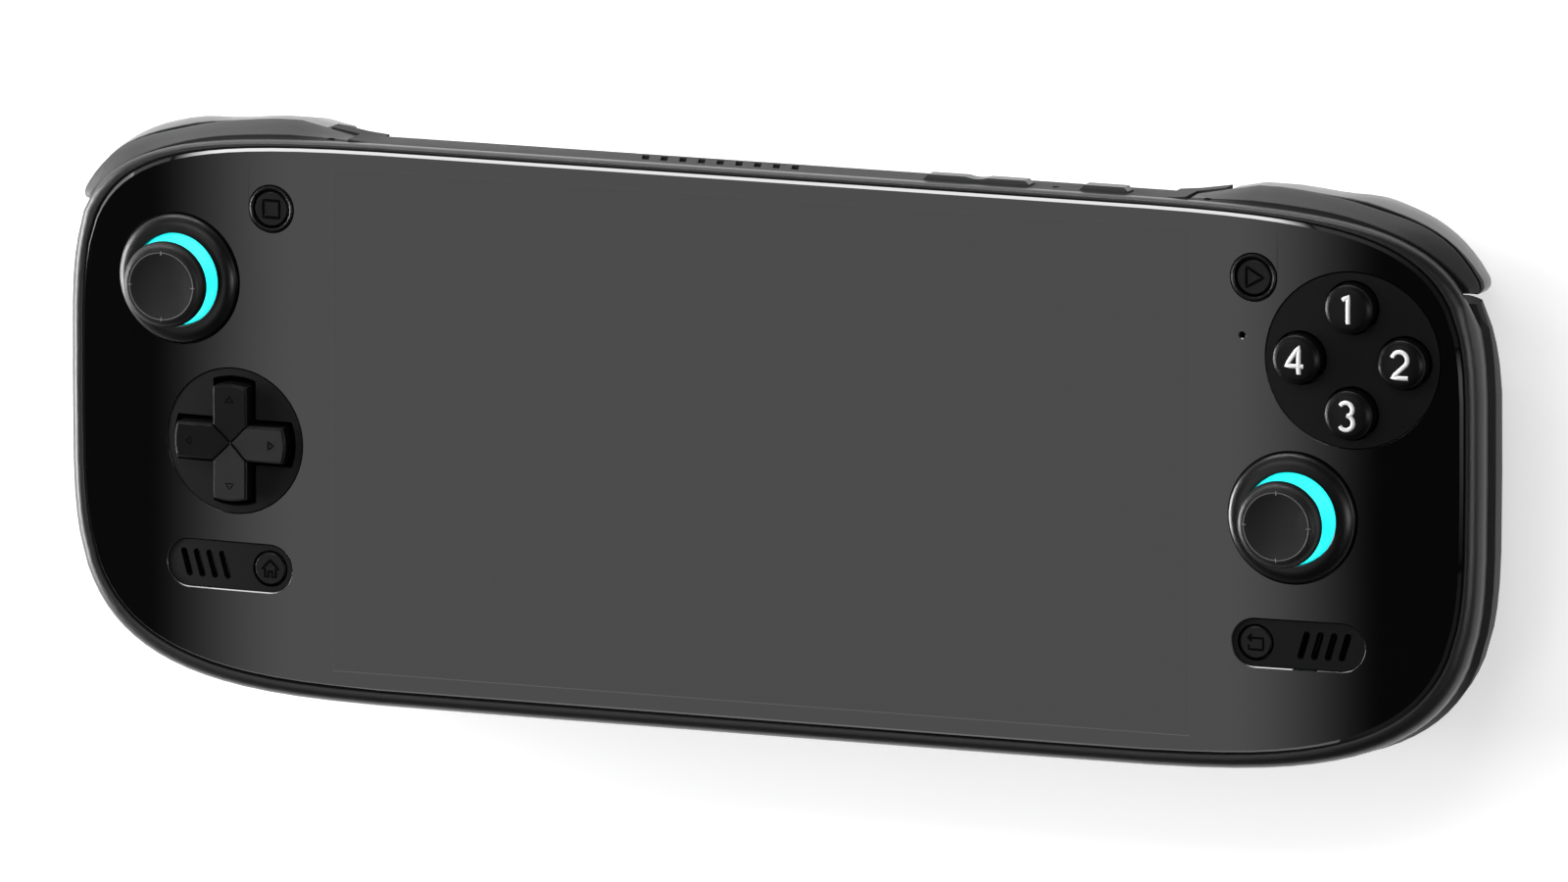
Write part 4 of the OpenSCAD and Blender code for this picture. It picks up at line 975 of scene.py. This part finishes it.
@dataclass
class ControlMarks:
    """All marks on the controls: numerals, small icons, arrows, painted shade along the creases of the cross,
    and rings of painted highlight on the stick crests.

    Attributes:
        shop: Source of the materials.
    """

    shop: FinishShop
    made: List[bpy.types.Object] = field(default_factory=list)

    def build(self) -> None:
        """Lays all the marks."""
        self._numerals()
        self._icons()
        self._arrows()
        self._stick_crest_highlights_and_ticks()
        LOG.info("%d marks", len(self.made))

    def _add(self, mark: Mark) -> None:
        """Builds a mark and keeps it.

        Args:
            mark: The mark.
        """
        self.made.append(mark.build(self.shop))

    def _numerals(self) -> None:
        """Lays plain numbers on the four face buttons."""
        w = 0.68
        shapes = {
            "top": (Stroke(((-0.7, 1.4), (0.15, 2.0), (0.15, -2.0)), w),),
            "right": (Stroke(arc(0.0, 0.85, 1.16, 165, -38) + ((-1.14, -1.8), (1.22, -1.8)), w),),
            "bottom": (Stroke(arc(-0.1, 0.96, 1.0, 150, -78, 12), w),
                       Stroke(arc(-0.1, -0.96, 1.1, 84, -150, 12), w)),
            "left": (Stroke(((0.6, -2.02), (0.6, 1.95), (-1.3, -0.84), (1.3, -0.84)), w),),
        }
        reach, top, crown, button_r = 7.75, 2.3, 0.42, 3.65
        places = {"top": (0.0, reach), "right": (reach, 0.0), "bottom": (0.0, -reach), "left": (-reach, 0.0)}
        for name, strokes in shapes.items():
            centre = (OUTER_PLACE[0] + places[name][0], OUTER_PLACE[1] + places[name][1])
            level = top - droop(centre[0])
            node = f"face_button_{name}"
            self._add(Mark(f"number_{name}", node, node, centre, strokes,
                           lambda x, y, t=level: t - crown * (x * x + y * y) / button_r ** 2, Surface.PRINT))

    def _icons(self) -> None:
        """Lays the small icons on the flat round buttons."""
        w = 0.44
        square = Stroke(((-1.25, -1.25), (1.25, -1.25), (1.25, 1.25), (-1.25, 1.25)), w, True)
        wedge = Stroke(((-1.1, -1.5), (1.5, 0.0), (-1.1, 1.5)), w, True)
        house = Stroke(((-1.3, -0.05), (0.0, 1.25), (1.3, -0.05), (0.85, -0.05), (0.85, -1.2), (0.3, -1.2),
                        (0.3, -0.4), (-0.3, -0.4), (-0.3, -1.2), (-0.85, -1.2), (-0.85, -0.05)), 0.4, True)
        bent = Stroke(((-1.2, 0.65), (1.15, 0.65), (1.15, -1.05), (-1.05, -1.05), (-1.05, -0.4)), 0.36)
        tip = Stroke(((-0.6, 1.15), (-1.2, 0.65), (-0.6, 0.15)), 0.36)
        spots = {
            "select_button": ((-76.0, 30.7), (square,), 0.0),
            "start_button": ((76.0, 30.7), (wedge,), 0.0),
            "home_button": ((-76.45, -22.9), (house,), -0.2),
            "back_button": ((76.45, -22.9), (bent, tip), -0.2),
        }
        for node, (centre, strokes, drop) in spots.items():
            level = drop - droop(centre[0])
            self._add(Mark(f"icon_{node}", node, node, centre, strokes,
                           lambda x, y, t=level: t, Surface.ICON_AND_CREASE_SHADE))

    def _arrows(self) -> None:
        """Lays four small arrows on the direction cross, and near-black strokes of painted shade along its
        four creases.
        """
        arrow = ((6.9, 0.0), (6.05, 0.62), (6.05, -0.62))
        crease = ((0.2, 0.0), (CROSS_ARM_HALF * math.sqrt(2.0), 0.0))
        for k in range(4):
            strokes = {
                f"dpad_arrow_{k + 1}": Stroke(turned(arrow, 90 * k), 0.2, True),
                # painted shade: a near-black stroke along each of the four creases
                f"dpad_line_{k + 1}": Stroke(turned(crease, 90 * k + 45), 0.34),
            }
            for name, stroke in strokes.items():
                self._add(Mark(name, "dpad", "dpad", CROSS_PLACE, (stroke,), self.cross_top, Surface.ICON_AND_CREASE_SHADE))

    @staticmethod
    def cross_top(x: float, y: float) -> float:
        """Height of the top of the direction cross.

        Args:
            x: Place across from its middle.
            y: Place along from its middle.

        Returns:
            The height over the screen plane.
        """
        far = min(HOLLOW_R, math.hypot(x, y))
        sink = HOLLOW_R - HOLLOW_DEPTH - math.sqrt(HOLLOW_R ** 2 - far ** 2)
        return CROSS_TOP + min(0.0, sink) - droop(CROSS_PLACE[0])

    def _stick_crest_highlights_and_ticks(self) -> None:
        """Lays a fine ring of painted highlight and four ticks on the crest of each stick cap."""
        ring = Stroke(arc(0.0, 0.0, 4.97, 0, 352.5, 47), 0.13, True)
        ticks = [Stroke(turned(((4.6, 0.0), (5.25, 0.0)), 90 * k), 0.16) for k in range(4)]
        for side, place in STICK_PLACES.items():
            level = CREST_HEIGHT - 0.01 - droop(place[0])
            self._add(Mark(f"{side}_stick_crest_highlight_and_ticks", f"{side}_stick", f"{side}_stick_cap", place, (ring, *ticks),
                           lambda x, y, t=level: t, Surface.CREST_HIGHLIGHT_AND_TICKS))


@dataclass(frozen=True)
class Sheet:
    """A glowing sheet of the studio, even in its middle and fading towards its edges.

    Attributes:
        name: Name of the sheet.
        way: Direction from the screen.
        distance: Distance from the screen in metres.
        width: Its width.
        height: Its height.
        strength: Glow in its middle.
        even: Even share of its half width and of its half height.
        end: Share of the same where its glow ends.
        lights: True if it also lights matt surfaces.
    """

    name: str
    way: Tuple[float, float, float]
    distance: float
    width: float
    height: float
    strength: float
    even: Point2
    end: Point2 = (1.0, 1.0)
    lights: bool = False


SHEETS: Tuple[Sheet, ...] = (
    Sheet("sheen_panel", MIRROR_WAY, 3.0, 3.0, 1.6, 1.72, (0.066, 0.95), (0.547, 1.0), True),
    Sheet("back_panel", (-0.32, 0.33, 0.89), 3.0, 2.6, 1.3, 3.0, (0.3, 0.2)),
    Sheet("top_strip", (-0.34, 0.7, 0.63), 2.6, 2.4, 0.5, 1.4, (0.5, 0.3)),
    Sheet("edge_strip", (-0.33, 0.92, 0.19), 2.4, 2.6, 0.44, 18.0, (0.5, 0.4)),
    Sheet("left_strip", (-0.98, -0.1, 0.11), 2.2, 1.8, 0.44, 54.0, (0.4, 0.3)),
    Sheet("right_strip", (0.64, -0.1, 0.76), 2.4, 2.0, 0.7, 9.0, (0.2, 0.2)),
    Sheet("far_strip", (0.97, 0.1, 0.14), 2.2, 1.6, 0.5, 5.0, (0.1, 0.1)),
)


@dataclass
class Studio:
    """Camera, floor, lights and world.

    Attributes:
        lens: Focal length of the camera.
        distance: Distance of the camera from its target, in metres.
        floor_glow: Own light of the floor towards the camera.
    """

    lens: float = 581.8
    distance: float = 3.6748
    floor_glow: float = 0.6

    def build(self) -> None:
        """Sets up the whole studio."""
        self._camera()
        self._floor()
        for sheet in SHEETS:
            self._glow(sheet)
        self._lamps()
        self._world()
        view = bpy.context.scene.view_settings
        view.view_transform = "Standard"
        LOG.info("studio ready")

    def _camera(self) -> None:
        """Places the camera of the photo."""
        data = bpy.data.cameras.new("camera")
        data.lens, data.sensor_width = self.lens, 36.0
        data.clip_start, data.clip_end = 0.1, 50.0
        cam = placed("camera", data)
        right = Vector((0.93643, 0.0, -0.35086))
        back = Vector(CAMERA_WAY).normalized()
        up = back.cross(right).normalized()
        right = up.cross(back)
        target = SCREEN + Vector((3.93, 1.738, 0.0)) * MM
        turn = Matrix((right, up, back)).transposed()
        cam.matrix_world = Matrix.Translation(target + back * self.distance) @ turn.to_4x4()
        bpy.context.scene.camera = cam

    def _plane(self, name: str, centre: Vector, normal: Vector, width: float,
               height: float) -> bpy.types.Object:
        """Makes a flat stage sheet whose width runs along X of the world as far as it can.

        Args:
            name: Name of the sheet.
            centre: Its middle.
            normal: Way it faces.
            width: Its width.
            height: Its height.

        Returns:
            The new object.
        """
        mesh = bpy.data.meshes.new(name)
        bm = bmesh.new()
        bmesh.ops.create_grid(bm, x_segments=1, y_segments=1, size=0.5)
        bmesh.ops.scale(bm, vec=(width, height, 1.0), verts=bm.verts)
        bm.to_mesh(mesh)
        bm.free()
        made = placed(name, mesh)
        made.matrix_world = Matrix.Translation(centre) @ self._facing(normal)
        return made

    @staticmethod
    def _facing(normal: Vector) -> Matrix:
        """Turn that points Z along a way and keeps X near X of the world, or near Y for the two sides.

        Args:
            normal: The way for Z.

        Returns:
            The turn.
        """
        up = normal.normalized()
        along = Vector((0.0, 1.0, 0.0)) if abs(up.x) > 0.8 else Vector((1.0, 0.0, 0.0))
        across = (along - up * up.dot(along)).normalized()
        return Matrix((across, up.cross(across), up)).transposed().to_4x4()

    def _floor(self) -> None:
        """Makes the pale floor under the grips."""
        floor = self._plane("floor", Vector((0.0, 0.0, -0.0005)), Vector((0.0, 0.0, 1.0)), 6.0, 6.0)
        made = bpy.data.materials.new("floor_paper")
        made.use_nodes = True
        g = NodeGraph(made.node_tree)
        shader = made.node_tree.nodes["Principled BSDF"]
        noise = g.add("ShaderNodeTexNoise")
        g.feed(noise.inputs["Scale"], 30.0)
        g.feed(noise.inputs["Vector"], g.spot())
        tone = g.math("ADD", g.math("MULTIPLY", noise.outputs[0], 0.01), 0.8)
        pale = g.add("ShaderNodeCombineColor")
        for k in range(3):
            g.feed(pale.inputs[k], tone)
        g.feed(shader.inputs["Base Color"], pale.outputs[0])
        g.feed(shader.inputs["Roughness"], 0.9)
        g.feed(shader.inputs["Specular IOR Level"], 0.0)
        path = g.add("ShaderNodeLightPath")
        mirrored = g.math("MAXIMUM", path.outputs["Is Glossy Ray"], path.outputs["Is Transmission Ray"])
        glow = g.math("MAXIMUM", g.math("MULTIPLY", path.outputs["Is Camera Ray"], self.floor_glow), mirrored)
        g.feed(shader.inputs["Emission Color"], (1.0, 1.0, 1.0, 1.0))
        g.feed(shader.inputs["Emission Strength"], glow)
        floor.data.materials.append(made)

    def _glow(self, sheet: Sheet) -> None:
        """Hangs a glowing sheet that the camera doesn't see.

        Args:
            sheet: The sheet.
        """
        way = Vector(sheet.way).normalized()
        panel = self._plane(sheet.name, SCREEN + way * sheet.distance, -way, sheet.width, sheet.height)
        panel.visible_camera = False
        panel.visible_diffuse = sheet.lights
        panel.visible_shadow = False
        made = bpy.data.materials.new(sheet.name)
        made.use_nodes = True
        tree = made.node_tree
        tree.nodes.clear()
        g = NodeGraph(tree)
        place = g.split(g.spot())
        share: object = sheet.strength
        for axis, half in ((0, sheet.width / 2), (1, sheet.height / 2)):
            past = g.math("ABSOLUTE", place[axis])
            fade = g.ramp(past, half * sheet.even[axis], half * sheet.end[axis], 1.0, 0.0)
            share = g.math("MULTIPLY", fade, share)
        glow = g.add("ShaderNodeEmission")
        g.feed(glow.inputs["Strength"], share)
        out = g.add("ShaderNodeOutputMaterial")
        g.feed(out.inputs["Surface"], glow.outputs[0])
        panel.data.materials.append(made)

    def _lamp(self, name: str, place: Vector, width: float, height: float, watts: float) -> None:
        """Adds a soft lamp that points at the screen and that no glossy surface mirrors.

        Args:
            name: Name of the lamp.
            place: Where it hangs.
            width: Its width.
            height: Its height.
            watts: Its power.
        """
        data = bpy.data.lights.new(name, "AREA")
        data.shape = "RECTANGLE"
        data.size, data.size_y, data.energy = width, height, watts
        lamp = placed(name, data)
        lamp.matrix_world = Matrix.Translation(place) @ self._facing(place - SCREEN)
        lamp.visible_glossy = False

    def _lamps(self) -> None:
        """Hangs soft lamps over the top edge, at the left and behind the right corner."""
        self._lamp("top_lamp", Vector((-0.3, 1.7, 1.9)), 2.2, 0.6, 26.0)
        self._lamp("left_lamp", Vector((-2.2, 0.5, 0.7)), 1.8, 0.6, 120.0)
        self._lamp("right_lamp", Vector((1.6, 1.5, 0.7)), 1.2, 0.6, 5.0)

    def _world(self) -> None:
        """Sets a white ground for the camera and, for the rest, a horizon brighter at the left and behind."""
        world = bpy.data.worlds.new("studio")
        world.use_nodes = True
        bpy.context.scene.world = world
        g = NodeGraph(world.node_tree)
        ground = world.node_tree.nodes["Background"]
        x, y, z = g.split(g.add("ShaderNodeTexCoord").outputs["Generated"])
        low = g.ramp(z, 0.25, 0.6, 1.0, 0.0)
        side = g.math("ADD", g.math("MULTIPLY", x, -0.75), g.math("MULTIPLY", y, 0.65))
        lit = g.ramp(side, -0.3, 0.8, 0.12, 1.0)
        seen = g.add("ShaderNodeLightPath").outputs["Is Camera Ray"]
        strength = g.math("ADD", g.math("MULTIPLY", g.math("MULTIPLY", low, lit), 0.9), 0.06)
        g.feed(ground.inputs["Color"], (1.0, 1.0, 1.0, 1.0))
        g.feed(ground.inputs["Strength"], g.math("MAXIMUM", strength, seen))


SOFT_LOOKS: Dict[str, Surface] = {
    "front_glass": Surface.GLASS,
    "front_frame": Surface.SANDED,
    "rear_shell": Surface.SHELL,
    "left_bumper": Surface.KEY,
    "right_bumper": Surface.KEY,
    "left_trigger": Surface.TRIGGER,
    "right_trigger": Surface.TRIGGER,
    "volume_key": Surface.EDGE_KEY,
    "power_key": Surface.EDGE_KEY,
    "left_stick_collar": Surface.COLLAR,
    "right_stick_collar": Surface.COLLAR,
    "stick_light_rings": Surface.LIGHT,
    "dpad_plate": Surface.PLATE,
    "dpad": Surface.CROSS,
    "face_plate": Surface.PLATE,
    "face_button_top": Surface.BUTTON,
    "face_button_right": Surface.BUTTON,
    "face_button_bottom": Surface.BUTTON,
    "face_button_left": Surface.BUTTON,
    "select_button": Surface.SATIN,
    "start_button": Surface.SATIN,
    "home_button": Surface.SATIN,
    "back_button": Surface.SATIN,
    "left_grille_plate": Surface.PLATE,
    "right_grille_plate": Surface.PLATE,
    "small_button_bezels": Surface.SATIN,
}

PLAIN_LOOKS: Dict[str, Surface] = {
    "display_panel": Surface.PANEL,
    "mid_plate": Surface.ALUMINIUM,
    "mainboard": Surface.BOARD,
    "battery": Surface.WRAP,
    "fan_housing": Surface.DARK,
    "fan_impeller": Surface.DARK,
    "heatsink": Surface.ALUMINIUM,
    "heat_pipe": Surface.COPPER,
    "left_stick_housing": Surface.STEEL,
    "right_stick_housing": Surface.STEEL,
    "left_stick_carrier": Surface.WHITE,
    "right_stick_carrier": Surface.WHITE,
    "left_stick_yoke": Surface.DARK,
    "right_stick_yoke": Surface.DARK,
    "left_stick_lever": Surface.DARK,
    "right_stick_lever": Surface.DARK,
    "dpad_pivot": Surface.STEEL,
    "left_control_board": Surface.BOARD,
    "right_control_board": Surface.BOARD,
    "dpad_membrane": Surface.SILICONE,
    "face_membrane": Surface.SILICONE,
    "left_shoulder_bracket": Surface.STEEL,
    "right_shoulder_bracket": Surface.STEEL,
    "shoulder_pins": Surface.STEEL,
    "left_trigger_spring": Surface.STEEL,
    "right_trigger_spring": Surface.STEEL,
    "speakers": Surface.DARK,
    "rumble_motors": Surface.STEEL,
    "usb_port": Surface.STEEL,
    "headphone_jack": Surface.DARK,
    "card_slot": Surface.STEEL,
    "rear_screws": Surface.STEEL,
}


EASED: Dict[str, Ease] = {"front_glass": Ease(0.13, 1), "dpad": Ease(0.3, 3, 3.3)}


def main() -> None:
    """Builds the looks in order."""
    logging.basicConfig(level=logging.INFO)
    shop = FinishShop()
    SoftCopies(shop, SOFT_LOOKS, eased=EASED).build()
    StickCaps(shop).build()
    PlainNodes(shop, PLAIN_LOOKS).build()
    ControlMarks(shop).build()
    Studio().build()


if __name__ == "__main__":
    main()
